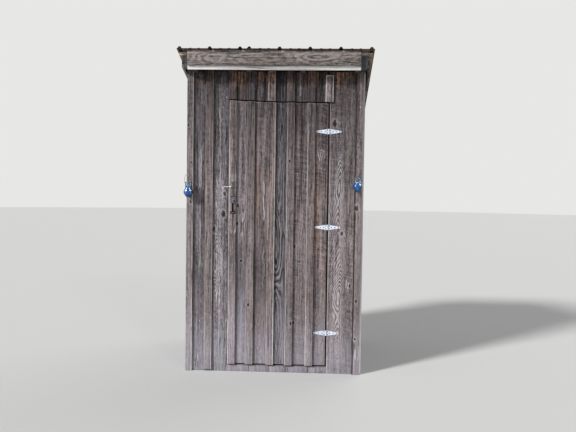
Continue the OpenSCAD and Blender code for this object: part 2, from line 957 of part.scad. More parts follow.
floor_rims();
floor_joists();
floor_boards();
corner_posts();
door_posts();
wall_plates();
door_header();
wall_girts();
left_front_boards();
hinge_side_board();
over_door_boards();
door_sill_board();
front_battens();
left_wall_boards();
left_wall_battens();
right_wall_boards();
right_wall_battens();
back_wall_boards();
back_wall_battens();
end_corner_boards();
side_corner_boards();
frieze_boards();
rafters();
eave_blocks();
sub_fascias();
barge_boards();
roof_sheathing();
front_fascia();
front_fascia_backer();
back_fascia();
left_roof_sheet();
right_roof_sheet();
hinge_wall_leaves();
hinge_pins();
latch_keeper();
lantern_hangers();
lantern_jars();
door_boards();
door_battens();
door_ledges();
door_braces();
hinge_door_leaves();
pull_handle();
latch_pivot();
latch_hook();
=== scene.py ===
"""Dresses the weathered board-and-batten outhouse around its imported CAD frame.

The walls, the door, the eaves and the floor get separate sawn boards with worn edges, nails and their own
grain. The roof metal, hinges, pull, hook and wires keep their CAD shapes and get their finishes here.
"""

import logging
import math
import random
from dataclasses import dataclass, field, replace
from enum import Enum
from functools import cache
from typing import Iterable, Optional, Sequence, Union

import bmesh
import bpy
from mathutils import Matrix, Vector, noise


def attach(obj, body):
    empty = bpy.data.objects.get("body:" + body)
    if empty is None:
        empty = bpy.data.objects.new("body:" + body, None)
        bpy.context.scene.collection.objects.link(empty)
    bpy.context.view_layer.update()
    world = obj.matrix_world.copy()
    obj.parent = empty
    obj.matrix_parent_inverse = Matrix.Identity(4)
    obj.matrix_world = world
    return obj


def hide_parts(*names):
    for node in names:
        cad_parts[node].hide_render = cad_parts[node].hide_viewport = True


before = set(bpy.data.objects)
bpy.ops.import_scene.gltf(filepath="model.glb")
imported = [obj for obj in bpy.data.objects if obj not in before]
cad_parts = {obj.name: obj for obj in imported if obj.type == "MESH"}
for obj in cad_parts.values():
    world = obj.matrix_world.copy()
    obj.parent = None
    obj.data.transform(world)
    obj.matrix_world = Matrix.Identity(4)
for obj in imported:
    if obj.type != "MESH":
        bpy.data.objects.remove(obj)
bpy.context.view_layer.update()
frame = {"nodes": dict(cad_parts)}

LOG = logging.getLogger("outhouse")
Colour = tuple[float, float, float]
Socket = bpy.types.NodeSocket
Feed = Union["Value", Socket, float, Colour]
Cut = tuple[Vector, Vector]
Shape = bmesh.types.BMesh

X_AXIS = Vector((1, 0, 0))
Y_AXIS = Vector((0, 1, 0))
Z_AXIS = Vector((0, 0, 1))

# The colour sockets of a Mix node, which also has sockets of other types.
MIX_COLOURS = slice(6, 8)
MIX_RESULT = 2
# A knot is drawn this much longer along the board than across it.
KNOT_SQUEEZE = 1.6


class Run(Enum):
    """The way the fibres of a framing timber run."""

    SIDEWAYS = "x"
    FRONT_TO_BACK = "y"
    UPRIGHT = "z"


class Wall(Enum):
    """The four walls, each by the way it looks."""

    FRONT = (0, -1, 0)
    RIGHT = (1, 0, 0)
    BACK = (0, 1, 0)
    LEFT = (-1, 0, 0)

    @property
    def out(self) -> Vector:
        """The direction out of the wall."""
        return Vector(self.value)

    @property
    def sideways(self) -> Vector:
        """The direction to the right along the wall, as seen from outside."""
        return Z_AXIS.cross(self.out)


# Finishes


class Bench:
    """Builds the nodes of one material or world step by step."""

    def __init__(self, owner: Union[bpy.types.Material, bpy.types.World]) -> None:
        """Clears the nodes.

        Args:
            owner: the material or world.
        """
        owner.use_nodes = True
        self.owner = owner
        self.tree = owner.node_tree
        self.tree.nodes.clear()

    def feed(self, socket: Socket, value: Feed) -> None:
        """Links a socket, or sets its value.

        Args:
            socket: the input to fill.
            value: a value of this bench, an output socket, a number or a colour.
        """
        if isinstance(value, Value):
            value = value.socket
        if isinstance(value, bpy.types.NodeSocket):
            self.tree.links.new(value, socket)
        elif isinstance(value, tuple) and len(value) < len(socket.default_value):
            socket.default_value = (*value, 1.0)
        else:
            socket.default_value = value

    def node(self, kind: str, *inputs: Feed, **settings: object) -> bpy.types.Node:
        """Adds a node.

        Args:
            kind: its type, without ShaderNode.
            inputs: what its first inputs get.
            settings: its own settings.

        Returns:
            The node.
        """
        node = self.tree.nodes.new("ShaderNode" + kind)
        for key, value in settings.items():
            setattr(node, key, value)
        for socket, value in zip(node.inputs, inputs):
            self.feed(socket, value)
        return node

    def sum(self, kind: str, *given: Feed) -> "Value":
        """Works out a number, or a vector where one of the given values is one.

        Args:
            kind: the operation of the Math or Vector Math node.
            given: one or two values.

        Returns:
            The result.
        """
        wide = [isinstance(v, tuple) or isinstance(v, Value) and v.socket.type != "VALUE" for v in given]
        if not any(wide):
            return Value(self, self.node("Math", *given, operation=kind).outputs[0])
        if kind == "MULTIPLY" and not all(wide):
            node = self.node("VectorMath", given[wide.index(True)], operation="SCALE")
            self.feed(node.inputs["Scale"], given[wide.index(False)])
        else:
            node = self.node("VectorMath", *given, operation=kind)
        return Value(self, node.outputs["Value" if kind == "LENGTH" else "Vector"])


class Value:
    """A number, vector or colour on a bench; arithmetic with it adds nodes."""

    def __init__(self, bench: Bench, socket: Socket) -> None:
        """Keeps the bench and the socket that carries it."""
        self.bench = bench
        self.socket = socket

    def do(self, kind: str, *other: Feed) -> "Value":
        """The result of any other operation on it."""
        return self.bench.sum(kind, self, *other)

    def __add__(self, other: Feed) -> "Value":
        """Value + other."""
        return self.do("ADD", other)

    def __sub__(self, other: Feed) -> "Value":
        """Value - other."""
        return self.do("SUBTRACT", other)

    def __rsub__(self, other: Feed) -> "Value":
        """Other - value."""
        return self.bench.sum("SUBTRACT", other, self)

    def __mul__(self, other: Feed) -> "Value":
        """Value * other; a vector times a number is scaled."""
        return self.do("MULTIPLY", other)

    def __rmul__(self, other: Feed) -> "Value":
        """Other * value."""
        return self.do("MULTIPLY", other)

    def __truediv__(self, other: Feed) -> "Value":
        """Value / other."""
        return self.do("DIVIDE", other)

    def __neg__(self) -> "Value":
        """Minus value."""
        return self * -1.0

    def __abs__(self) -> "Value":
        """Value without its sign."""
        return self.do("ABSOLUTE")

    def clamped(self) -> "Value":
        """Keeps the number just worked out between 0 and 1."""
        self.socket.node.use_clamp = True
        return self

    def parts(self) -> tuple["Value", ...]:
        """The three numbers of a vector."""
        return tuple(Value(self.bench, s) for s in self.bench.node("SeparateXYZ", self).outputs)

    def fade(self, start: Feed, end: Feed, low: Feed = 0.0, high: Feed = 1.0, soft: bool = True) -> "Value":
        """Maps it from one range to another, clamped.

        Args:
            start: where the result is low.
            end: where the result is high.
            low: result at start.
            high: result at end.
            soft: ease in and out.

        Returns:
            The mapped value.
        """
        kind = "SMOOTHSTEP" if soft else "LINEAR"
        node = self.bench.node("MapRange", self, start, end, low, high, interpolation_type=kind)
        return Value(self.bench, node.outputs[0])

    def ramp(self, low: float, high: float) -> "Value":
        """Maps 0 to 1 evenly to this range."""
        return self.fade(0.0, 1.0, low, high, False)

    def swayed(self, *patterns: tuple["Value", Feed]) -> "Value":
        """Adds patterns that swing around 0.5.

        Args:
            patterns: each with its weight.

        Returns:
            The sum.
        """
        total = self
        for pattern, weight in patterns:
            total = (pattern - 0.5) * weight + total
        return total


class Paint(Bench):
    """The bench of a material with one principled shader.

    Attributes:
        spot: where its patterns are read, at first the Object coordinates, which are the frame's own metres.
    """

    def __init__(self, name: str) -> None:
        """Starts the material.

        Args:
            name: its name.
        """
        super().__init__(bpy.data.materials.new(name))
        self.shader = self.node("BsdfPrincipled")
        self.node("OutputMaterial", self.shader.outputs[0])
        self.spot = Value(self, self.node("TexCoord").outputs["Object"])

    def join(self, *numbers: Feed) -> Value:
        """The vector of three numbers."""
        return Value(self, self.node("CombineXYZ", *numbers).outputs[0])

    def read(self, name: str) -> Value:
        """The vector that the mesh carries under this name."""
        return Value(self, self.node("Attribute", attribute_name=name).outputs["Vector"])

    def noise(self, stretch: Feed, detail: float = 2.0, rough: float = 0.5,
              where: Optional[Value] = None) -> Value:
        """Adds a noise pattern.

        Args:
            stretch: how many swings there are to a metre in each direction, or in all.
            detail: octaves.
            rough: strength of the finer octaves.
            where: the coordinates, if they aren't the material's spot.

        Returns:
            The pattern, from 0 to 1 around 0.5.
        """
        node = self.node("TexNoise", (where or self.spot) * stretch, 0.0, 1.0, detail, rough)
        return Value(self, node.outputs["Fac"])

    def cells(self, scale: float) -> Value:
        """The distance from the middles of so many cells to a metre."""
        return Value(self, self.node("TexVoronoi", self.spot, 0.0, scale).outputs["Distance"])

    def blend(self, share: Feed, first: Feed, second: Feed) -> Value:
        """Mixes two colours.

        Args:
            share: how much of the second there is.
            first: first colour.
            second: second colour.

        Returns:
            The mixed colour.
        """
        node = self.node("Mix", share, data_type="RGBA")
        for socket, colour in zip(node.inputs[MIX_COLOURS], (first, second)):
            self.feed(socket, colour)
        return Value(self, node.outputs[MIX_RESULT])

    def bump(self, height: Value, distance: float, strength: float = 1.0) -> None:
        """Lets a height pattern shape the shader's normal.

        Args:
            height: the pattern.
            distance: the height that 1 in the pattern stands for, in metres.
            strength: how far the normal follows it, from 0 to 1.
        """
        node = self.node("Bump")
        for name, value in (("Strength", strength), ("Distance", distance), ("Height", height)):
            self.feed(node.inputs[name], value)
        self.feed(self.shader.inputs["Normal"], node.outputs[0])

    def set(self, **values: Feed) -> bpy.types.Material:
        """Fills the shader's sockets.

        Args:
            values: what they get, by their names in lower case with underscores.

        Returns:
            The material.
        """
        for key, value in values.items():
            self.feed(self.shader.inputs[key.replace("_", " ").title().replace("Ior", "IOR")], value)
        return self.owner


class Grain(Paint):
    """The bench of a board's wood, which reads the vectors that Board has written on the mesh.

    Attributes:
        height: height in the frame.
        level: the same with a frayed edge, lower where the rain reaches higher.
        across, depth, along: the place on the board's own axes.
        fine, streak, band, cloud, mottle: patterns from fine fibres to broad clouds, and a blotchy one.
    """

    def __init__(self, name: str) -> None:
        """Reads the board's place and look, and draws the patterns of its fibres.

        Args:
            name: the material's name.
        """
        super().__init__(name)
        self.height = self.spot.parts()[2]
        self.grain = self.read("grain")
        self.across, self.depth, self.along = self.grain.parts()
        self.seed = self.read("seed")
        self.spot = self.grain + self.seed
        self.tone, self.warmth, rain = self.read("tint").parts()
        self.figure, self.sawn, self.stained = self.read("mood").parts()
        self.bleach, self.cool, self.wander = self.read("air").parts()
        self.fine = self.noise((150, 150, 5.0), 2.0, 0.6)
        self.streak = self.noise((56, 56, 1.5), 3.0, 0.6)
        self.band = self.noise((17, 17, 0.7))
        self.cloud = self.noise((9, 9, 2.6), 3.0, 0.55)
        self.mottle = self.noise((75, 75, 34), 3.0, 0.6)
        self.level = (self.cloud - 0.5) * 0.7 + self.height - rain

    def worn_lit_and_shaded_rim(self, colour: Value, bone: Value) -> Value:
        """Wears the board's arrises and ends: pale where the look says so, which is bleaching on some boards
        and a painted highlight on the battens' lit left arrises; dark along an edge where the look is below
        zero, which is painted contact shade in a seam; dark on plain end grain.

        Args:
            colour: the wood's colour so far.
            bone: the colour of bleached fibres.

        Returns:
            The colour with worn edges.
        """
        half, length, _ = self.read("span").parts()
        left, right, top = self.read("worn").parts()
        worn = (right - left) * self.across.fade(-0.004, 0.004) + left
        chew = self.noise((30, 30, 14), 3.0, 0.6) * 0.010
        edge = (half - abs(self.across) + chew).fade(abs(worn) * 0.005 + 0.0105, 0.0055)
        colour = self.blend((edge * (worn + 0.22)).clamped(), colour, bone)
        # Below zero the edge is painted dark: painted contact shade along a seam.
        colour = self.blend((edge * -worn).clamped(), colour, (0.022, 0.017, 0.016))
        reach = chew * 1.3
        low_end = (self.along + reach).fade(0.0125, 0.004)
        high_end = (length - self.along + reach).fade(0.0165, 0.008)
        plain = low_end.do("MAXIMUM", high_end * top.fade(0.1, 0.0))
        colour = self.blend(plain * 0.5, colour, (0.05, 0.038, 0.035))
        return self.blend((high_end * top).clamped(), colour, bone)

    def saw_marks(self) -> Value:
        """Draws the slightly arched marks that the saw left across the board.

        Returns:
            A pattern around 0.5 that is strong in patches only.
        """
        climb = self.across * self.across * 1.5 + self.across * 0.20 + self.along
        arched = self.join(self.across, self.depth, climb) + self.seed
        broad = self.noise((4, 4, 50), 1.0, where=arched)
        fine = self.noise((7, 7, 105), 1.0, where=arched)
        where = self.noise((5, 5, 2.2), 1.0).fade(0.38, 0.60, 0.25, 1.0)
        return (broad * 0.35 + fine * 1.05 - 0.70) * where + 0.5

    def checks(self) -> Value:
        """Draws long dark checks and short open ones.

        Returns:
            The share of dark, from 0 to 1.
        """
        crack = abs(self.noise((64, 64, 0.9)) - 0.5).fade(0.016, 0.004)
        where = self.noise((16, 16, 1.7), 1.0).fade(0.50, 0.62)
        short = self.noise((120, 120, 9), 1.0).fade(0.70, 0.77) * 0.7
        return (crack * where).do("MAXIMUM", short)

    def knots(self) -> tuple[Value, Value]:
        """Reads the board's three knots.

        Returns:
            The push on the rings, in metres, and the distance to the nearest knot, in its own radii.
        """
        flat = self.join(self.across, self.along / KNOT_SQUEEZE, 0.0)
        swell: Feed = 0.0
        nearest: Feed = 99.0
        for name in ("knot_a", "knot_b", "knot_c"):
            x, z, radius = self.read(name).parts()
            away = flat - self.join(x, z, 0.0)
            far = (away * (1.0, 0.45, 1.0)).do("LENGTH") / radius
            swell = (far * far * -0.14).do("EXPONENT") * radius * 2.0 + swell
            nearest = (away.do("LENGTH") / radius).do("MINIMUM", nearest)
        return swell, nearest

    def rings(self, swell: Value, taper: Value) -> Value:
        """Draws the growth rings that the saw has opened, strong ones with finer ones between.

        Args:
            swell: push of the knots and eyes, in metres.
            taper: how fast the rings run out of the face, which opens long rings into chevrons.

        Returns:
            A pattern from 0 to 1 with narrow pale lines.
        """
        curl = self.read("span").parts()[2]
        pith, pith_depth, pitch = self.read("figure").parts()
        drift = self.noise((1.5, 1.5, 1.3), 1.0) - 0.5
        waver = self.noise(self.join(3.0, 3.0, self.wander), 1.0, 0.4) - 0.5
        wag = self.noise((14, 14, 15)) - 0.5
        x = drift * 0.10 + wag * curl * 0.12 + self.across - pith
        y = self.depth + pith_depth
        radius = (x * x + y * y).do("SQRT") + self.along * taper + waver * curl * 1.4
        turns = (radius + swell) / pitch
        tooth = turns.do("FRACT")
        bold = tooth.fade(0.0, 0.42) * tooth.fade(0.95, 0.58)
        tooth = (turns * 3.0).do("FRACT")
        return tooth.fade(0.0, 0.6) * tooth.fade(1.0, 0.75) * 0.30 + bold * 0.70

    def patches(self) -> tuple[Value, Value]:
        """Marks the two areas of bare rings; in an eye, the rings close on themselves.

        Returns:
            The share of bare rings, from 0 to 1, and the push of the eyes on the rings, in metres.
        """
        total: Feed = 0.0
        push: Feed = 0.0
        for name in ("patch_a", "patch_b"):
            x, z, reach = self.read(name).parts()
            side = (self.across - x) / 0.036
            up = (self.along - z) / reach
            square = side * side + up * up
            far = (self.mottle - 0.5) * -0.6 + square.do("SQRT")
            total = far.fade(1.15, 0.7).do("MAXIMUM", total)
            push = reach.do("LESS_THAN", 0.0) * (-square).do("EXPONENT") * 0.075 + push
        return total, push

    def strands(self) -> tuple[Value, Value, Value]:
        """Draws the wavy strands of bleached latewood, each a pair of lines that cross, and the ochre bands.

        Returns:
            The shares of bleached fibre, of the dark groove beside it and of ochre.
        """
        sway = (self.noise((0, 0, 9.0)) - 0.5) * 0.050
        turn = (self.noise((0, 2.0, 14.0)) - 0.5) * 0.042
        pale: Feed = 0.0
        dark: Feed = 0.0
        ochre: Feed = 0.0
        for name in ("streak_a", "streak_b", "streak_c"):
            x, z, reach = self.read(name).parts()
            side = self.across - x
            within = abs((self.along - z) / reach).fade(1.0, 0.75)
            brown = reach.do("LESS_THAN", 0.0)
            ochre = (abs(turn * 0.6 + side).fade(0.032, 0.004) * within * brown).do("MAXIMUM", ochre)
            within = within * (1.0 - brown)
            first = side - sway
            second = abs(side - turn).fade(0.0040, 0.0010) * 0.7
            line = abs(first).fade(0.0052, 0.0016).do("MAXIMUM", second)
            pale = (line * within).do("MAXIMUM", pale)
            dark = (abs(first - 0.0075).fade(0.0035, 0.0010) * within * 0.65).do("MAXIMUM", dark)
        return pale, dark, ochre


@dataclass(frozen=True)
class Wood:
    """Rough-sawn softwood as it weathers on one part of the building.

    Colours are linear. The dark and the pale one are those of the fibres; one pair is for the sheltered
    strip under the roof, which is darker from that shelter and from painted shade under the eave, the
    other for the wall below it, which the rain has bleached.
    """

    name: str
    slot: str
    eave_dark_shaded: Colour = (0.017, 0.0135, 0.0145)
    eave_pale_shaded: Colour = (0.102, 0.086, 0.091)
    wall_dark: Colour = (0.060, 0.0485, 0.0515)
    wall_pale: Colour = (0.325, 0.283, 0.296)
    brown: Colour = (0.20, 0.118, 0.078)
    bone: Colour = (0.52, 0.49, 0.49)
    inner: Colour = (0.21, 0.145, 0.098)
    eave_z: float = 2.36
    wall_z: float = 1.45
    foot_gain: float = 0.72
    streak: float = 1.7
    ring: float = 1.0
    saw: float = 1.0
    browning: float = 0.18

    def material(self) -> bpy.types.Material:
        """Builds the wood for boards that carry their own grain.

        Returns:
            The material, which reads the vectors written by Board.
        """
        b = Grain(self.name)
        shade_z, shade, taper = b.read("shade").parts()
        swell, knot = b.knots()
        patch, eye = b.patches()
        ring = b.rings(swell + eye, taper)
        value = self.brightness(b, ring, patch)
        # From the roof down to wall_z the colours pass from the sheltered pair, which is partly painted shade
        # under the eave, to the rained pair.
        rain_and_light = b.level.fade(self.eave_z, self.wall_z, soft=False)
        dark = b.blend(rain_and_light, self.eave_dark_shaded, self.wall_dark)
        pale = b.blend(rain_and_light, self.eave_pale_shaded, self.wall_pale)
        colour = self.aged(b, dark + (pale - dark) * value, value)
        # Bleached fibres are darker under the roof as well, partly painted shade.
        bone = self.bone * (rain_and_light * 0.45 + 0.55)
        strand, groove, ochre = b.strands()
        wave = ((b.fine - 0.5) * 0.5 + ring).fade(0.58, 0.90) * patch
        colour = b.blend(wave * b.bleach, colour, bone)
        colour = b.blend(ochre * b.cloud.fade(0.25, 0.60, 0.35, 0.85), colour, colour * (0.88, 0.73, 0.59))
        colour = b.blend(groove, colour, (0.020, 0.016, 0.017))
        colour = b.blend(strand * b.fine.fade(0.30, 0.55, 0.35, 0.95), colour, bone)
        colour = b.worn_lit_and_shaded_rim(self.flecked(b, colour, bone, rain_and_light, patch), bone)

        knot = knot + (b.mottle - 0.5) * 1.8
        colour = b.blend(abs(knot - 1.6).fade(0.5, 0.1) * 0.30, colour, bone)
        core = knot.fade(1.25, 0.7)
        colour = b.blend(core * 0.85, colour, (0.018, 0.013, 0.012))
        check = b.checks()
        colour = b.blend(check * 0.80, colour, (0.013, 0.010, 0.010))
        away = (b.along - shade_z) / 0.40
        foot = b.level.fade(0.75, 0.0) * self.foot_gain + shade * (-(away * away)).do("EXPONENT")
        colour = colour * (b.tone + foot + 1.0)
        colour = b.blend(b.depth.fade(0.0145, 0.0185), colour, self.inner * (value * 0.9 + 0.30))
        b.bump(strand * 0.4 + check * -1.5 + core * -0.5 + value, 0.0020)
        return b.set(base_color=colour, roughness=value.ramp(0.95, 0.82), specular_ior_level=0.2)

    def brightness(self, b: Grain, ring: Value, patch: Value) -> Value:
        """Works out how pale the fibres are; near the ground they differ less.

        Args:
            b: the wood's bench.
            ring: the growth rings.
            patch: the share of bare rings.

        Returns:
            From 0, the dark colour, to a little over 1, the pale one.
        """
        value = (b.streak - 0.5) * self.streak + (b.saw_marks() - 0.5) * b.sawn * self.saw + 0.46
        hairs = b.noise((420, 420, 14), 2.0, 0.6)
        value = value.swayed((b.band, 1.0), (b.fine, 1.5), (hairs, 0.8), (b.cloud, 0.7),
                             (b.mottle, b.bleach * 1.7 + 0.35))
        value = (ring - 0.42) * (patch * 0.5 + b.figure) * self.ring + value
        value = (0.46 - value) * b.level.fade(0.9, 0.1, 0.0, 0.60) + value
        return value.do("MINIMUM", 1.15).do("MAXIMUM", 0.0)

    def aged(self, b: Grain, colour: Value, value: Value) -> Value:
        """Ages the colour: brown bands, purple grey near the ground, and brown stains under the roof.

        Args:
            b: the wood's bench.
            colour: the colour so far.
            value: how pale the fibres are.

        Returns:
            The aged colour.
        """
        warm = (b.mottle * 0.3 + b.cloud).fade(0.56, 0.82) * self.browning
        warm = (b.warmth * b.streak.fade(0.36, 0.62) + warm).clamped() * b.level.fade(0.1, 0.9, 0.35, 1.0)
        colour = b.blend(warm * 0.8, colour, colour * self.hue(self.brown))
        olive = (b.mottle * -0.3 + b.cloud).fade(0.33, 0.16)
        colour = b.blend(olive, colour, colour * (0.985, 1.03, 0.955))
        chill = (b.band - 0.5) * b.level.fade(0.1, 1.0, 0.2, 1.3) + b.cool
        chill = chill + b.level.fade(0.75, 0.05, 0.0, 0.8)
        colour = b.blend(chill.do("MINIMUM", 1.0).do("MAXIMUM", 0.0), colour, colour * (0.93, 1.0, 1.10))
        stain = ((b.cloud - 0.5) * 0.30 + b.height).fade(2.20, 2.33)
        stain = (stain * (b.mottle * 0.6 + b.streak).fade(0.62, 0.98) * b.stained).clamped()
        return b.blend(stain, colour, self.rust_brown() * (value * 1.65 + 0.10))

    @staticmethod
    def flecked(b: Grain, colour: Value, bone: Value, rain_and_light: Value, patch: Value) -> Value:
        """Sets small pale and dark flecks, and a pale crackle on the most bleached boards.

        Args:
            b: the wood's bench.
            colour: the colour so far.
            bone: the colour of bleached fibres.
            rain_and_light: how much rain reaches the place, which is also how far it is out of the painted
                shade under the eave, from 0 to 1.
            patch: the share of bare rings.

        Returns:
            The flecked colour.
        """
        fleck = b.noise((85, 85, 38), 3.0, 0.75)
        where = b.noise((14, 14, 3.0)).fade(0.46, 0.62)
        share = b.bleach * 0.55 + rain_and_light * -0.35 + 0.60
        colour = b.blend(fleck.fade(0.60, 0.68) * where * share, colour, bone)
        colour = b.blend(fleck.fade(0.37, 0.30) * where * 0.55, colour, (0.018, 0.014, 0.014))
        crackle = abs(b.noise((62, 62, 27), 3.0, 0.65) - 0.5)
        where = patch * b.bleach.fade(0.65, 1.0)
        colour = b.blend(crackle.fade(0.060, 0.110) * where * 0.45, colour, (0.045, 0.038, 0.043))
        return b.blend(crackle.fade(0.040, 0.010) * where * 0.8, colour, (0.47, 0.44, 0.50))

    @staticmethod
    def hue(colour: Colour) -> Colour:
        """A factor that gives grey wood this colour's hue at nearly the same brightness."""
        return (1.12, 1.12 * colour[1] / colour[0] * 1.25, 1.12 * colour[2] / colour[0] * 1.45)

    def rust_brown(self) -> Colour:
        """The colour of the sheltered wood under the roof."""
        return (self.brown[0] * 1.35, self.brown[1] * 1.25, self.brown[2] * 1.15)


@dataclass(frozen=True)
class Timber:
    """Sawn framing timber that keeps its CAD shape; the grain follows one axis of the frame."""

    name: str
    run: Run
    dark: Colour = (0.030, 0.021, 0.016)
    pale: Colour = (0.125, 0.092, 0.070)

    def material(self) -> bpy.types.Material:
        """Builds the timber's material.

        Returns:
            The material, which reads Object coordinates.
        """
        b = Paint(self.name)
        x, y, z = b.spot.parts()
        turned = {Run.SIDEWAYS: (y, z, x), Run.FRONT_TO_BACK: (x, z, y), Run.UPRIGHT: (x, y, z)}[self.run]
        b.spot = b.join(*turned)
        fibre = b.noise((380, 380, 9), 2.0, 0.6)
        streak = b.noise((48, 48, 1.3), 4.0, 0.6)
        saw = b.noise((6, 6, 190), 2.0, 0.6)
        rings = ((turned[0] + turned[1] + b.noise((3, 3, 1.1)) * 0.10) / 0.0055).do("FRACT")
        rings = rings.fade(0.0, 0.7) * rings.fade(1.0, 0.85)
        cloud = b.noise((6, 6, 1.8), 3.0, 0.55)
        value = (streak - 0.5) * 2.0 + 0.5
        value = value.swayed((rings, 0.35), (fibre, 0.8), (saw, 0.5), (cloud, 1.0)).clamped()
        b.bump(saw * 0.6 + streak + fibre * 0.5, 0.0016)
        colour = b.blend(value, self.dark, self.pale)
        return b.set(base_color=colour, roughness=value.ramp(0.9, 0.76), specular_ior_level=0.25)


@dataclass(frozen=True)
class Metal:
    """Plain metal that has hung outdoors: a bare colour, a dulled one and rust."""

    name: str
    bare: Colour
    dull: Colour
    rust_share: float = 0.12
    gloss: float = 0.35
    shine: float = 0.75
    rust: Colour = (0.13, 0.045, 0.018)
    spangle: float = 260.0

    def material(self) -> bpy.types.Material:
        """Builds the metal's material.

        Returns:
            The material, which reads Object coordinates.
        """
        b = Paint(self.name)
        cloud = b.noise(38, 4.0, 0.6)
        grain = b.cells(self.spangle)
        flecks = b.noise(420, 2.0, 0.6)
        share = ((grain - 0.4) * 0.55 + cloud.fade(0.35, 0.65)).clamped()
        rusted = (flecks * 0.25 + cloud).fade(0.80 - self.rust_share * 0.5, 0.93 - self.rust_share * 0.5)
        b.bump(grain * 0.4 + rusted * 0.8 + flecks, 0.0003)
        return b.set(base_color=b.blend(rusted, b.blend(share, self.bare, self.dull), self.rust),
                     metallic=rusted.ramp(self.shine, 0.05),
                     roughness=share.do("MAXIMUM", rusted).ramp(self.gloss, self.gloss + 0.38))


@dataclass(frozen=True)
class PullPaint:
    """Old black paint of the pull; its plate is purple grey, partly worn paint and partly painted sky light
    on the upper plate, and it is bare on the middle of its foot.
    """

    middle: float
    foot: float
    plate_foot: float
    plate_top: float
    name: str = "dark_iron"
    black: Colour = (0.005, 0.0045, 0.005)
    plate: Colour = (0.235, 0.205, 0.285)
    bare: Colour = (0.17, 0.14, 0.135)

    def material(self) -> bpy.types.Material:
        """Builds the paint.

        Returns:
            The material, which reads Object coordinates.
        """
        b = Paint(self.name)
        x, _, z = b.spot.parts()
        cloud = b.noise(70, 3.0, 0.6)
        chips = b.noise(300, 3.0, 0.65)
        frayed = z + (cloud - 0.5) * 0.008
        # The plate's purple grey is partly worn paint and partly painted sky light on the upper plate.
        colour = b.blend(cloud.fade(0.42, 0.60), tuple(c * 0.45 for c in self.plate), self.plate)
        colour = b.blend(frayed.fade(self.plate_top - 0.007, self.plate_top - 0.004), colour, self.black)
        colour = b.blend(frayed.fade(self.plate_foot + 0.004, self.plate_foot - 0.004), colour, self.black)
        worn = abs(z - self.foot).fade(0.0050, 0.0025) * abs(x - self.middle).fade(0.0155, 0.0125)
        colour = b.blend(worn, colour, self.bare)
        b.bump(chips, 0.0003)
        return b.set(base_color=b.blend(chips.fade(0.68, 0.74, 0.0, 0.25), colour, (0.10, 0.05, 0.03)),
                     roughness=chips.fade(0.3, 0.7, 0.45, 0.75), specular_ior_level=0.12)


@dataclass(frozen=True)
class RoofMetal:
    """Ribbed roof sheet: dull zinc, washed with dirt down the slope, rusty along its cut edges."""

    name: str = "roof_metal"
    zinc: Colour = (0.21, 0.215, 0.22)
    dull: Colour = (0.105, 0.105, 0.10)
    dirt: Colour = (0.055, 0.047, 0.038)
    rust: Colour = (0.14, 0.052, 0.022)
    half_width: float = 0.744
    half_depth: float = 0.83

    def material(self) -> bpy.types.Material:
        """Builds the sheet's material.

        Returns:
            The material, which reads Object coordinates.
        """
        b = Paint(self.name)
        x, y, _ = b.spot.parts()
        cloud = b.noise(5, 4.0, 0.6)
        flecks = b.noise(210, 3.0, 0.65)
        colour = b.blend((b.cells(95.0) * 0.35 + cloud.fade(0.35, 0.65)).clamped(), self.zinc, self.dull)
        dirty = ((flecks - 0.5) * 0.35 + b.noise((26, 1.6, 1.6), 4.0, 0.6)).fade(0.44, 0.62)
        rim = (self.half_depth - abs(y)).do("MINIMUM", self.half_width - abs(x))
        rusted = ((cloud - 0.5) * 0.09 + (flecks - 0.5) * 0.05 + rim).fade(0.016, 0.002)
        colour = b.blend(rusted * 0.8, b.blend(dirty * 0.8, colour, self.dirt), self.rust)
        coat = dirty.do("MAXIMUM", rusted)
        b.bump(coat * 0.7 + flecks, 0.0005)
        return b.set(base_color=colour, metallic=coat.ramp(0.8, 0.1), roughness=coat.ramp(0.42, 0.85))


@dataclass(frozen=True)
class Glass:
    """Glass of a hanging jar: coloured in the bowl, clear in the neck, with faint dust."""

    name: str = "blue_glass"
    bowl: Colour = (0.004, 0.16, 0.54)
    bright: Colour = (0.03, 0.42, 0.88)
    deep: Colour = (0.002, 0.035, 0.20)
    neck: Colour = (0.86, 0.91, 0.95)
    edge: Colour = (0.001, 0.012, 0.075)

    def material(self) -> bpy.types.Material:
        """Builds the glass.

        Returns:
            The material, which reads the jar's own height.
        """
        b = Paint(self.name)
        ripple = b.noise((55, 55, 90))
        # The left jar is blue further up its neck.
        rise = b.spot.parts()[0].fade(-0.1, 0.1, 0.018, 0.0)
        clear = (ripple * 0.01 + b.read("jar").parts()[2] - rise).fade(0.070, 0.084)
        patch = b.noise(38, 2.0, 0.6)
        colour = b.blend(patch.fade(0.38, 0.54), self.deep, self.bowl)
        colour = b.blend(patch.fade(0.56, 0.68), colour, self.bright)
        thick = Value(b, b.node("LayerWeight").outputs["Facing"]).fade(0.24, 0.62)
        colour = b.blend(thick, b.blend(clear, colour, self.neck), self.edge)
        dust = b.noise(160, 3.0, 0.6).fade(0.55, 0.80)
        b.bump(ripple, 0.0012, 0.6)
        return b.set(base_color=colour, roughness=dust.ramp(0.03, 0.10), ior=clear.ramp(1.52, 1.10),
                     specular_ior_level=clear.ramp(1.0, 0.3),
                     transmission_weight=clear.ramp(0.35, 0.97) * thick.ramp(1.0, 0.3))


Finish = Union[Wood, Timber, Metal, PullPaint, RoofMetal, Glass]


@cache
def material_of(finish: Finish) -> bpy.types.Material:
    """Makes each finish's material once."""
    return finish.material()


def even_wood(name: str, slot: str, dark: Colour, pale: Colour, **other: object) -> Wood:
    """Wood that has the same colours under the roof and below it."""
    return Wood(name, slot, dark, pale, dark, pale, foot_gain=0.0, **other)


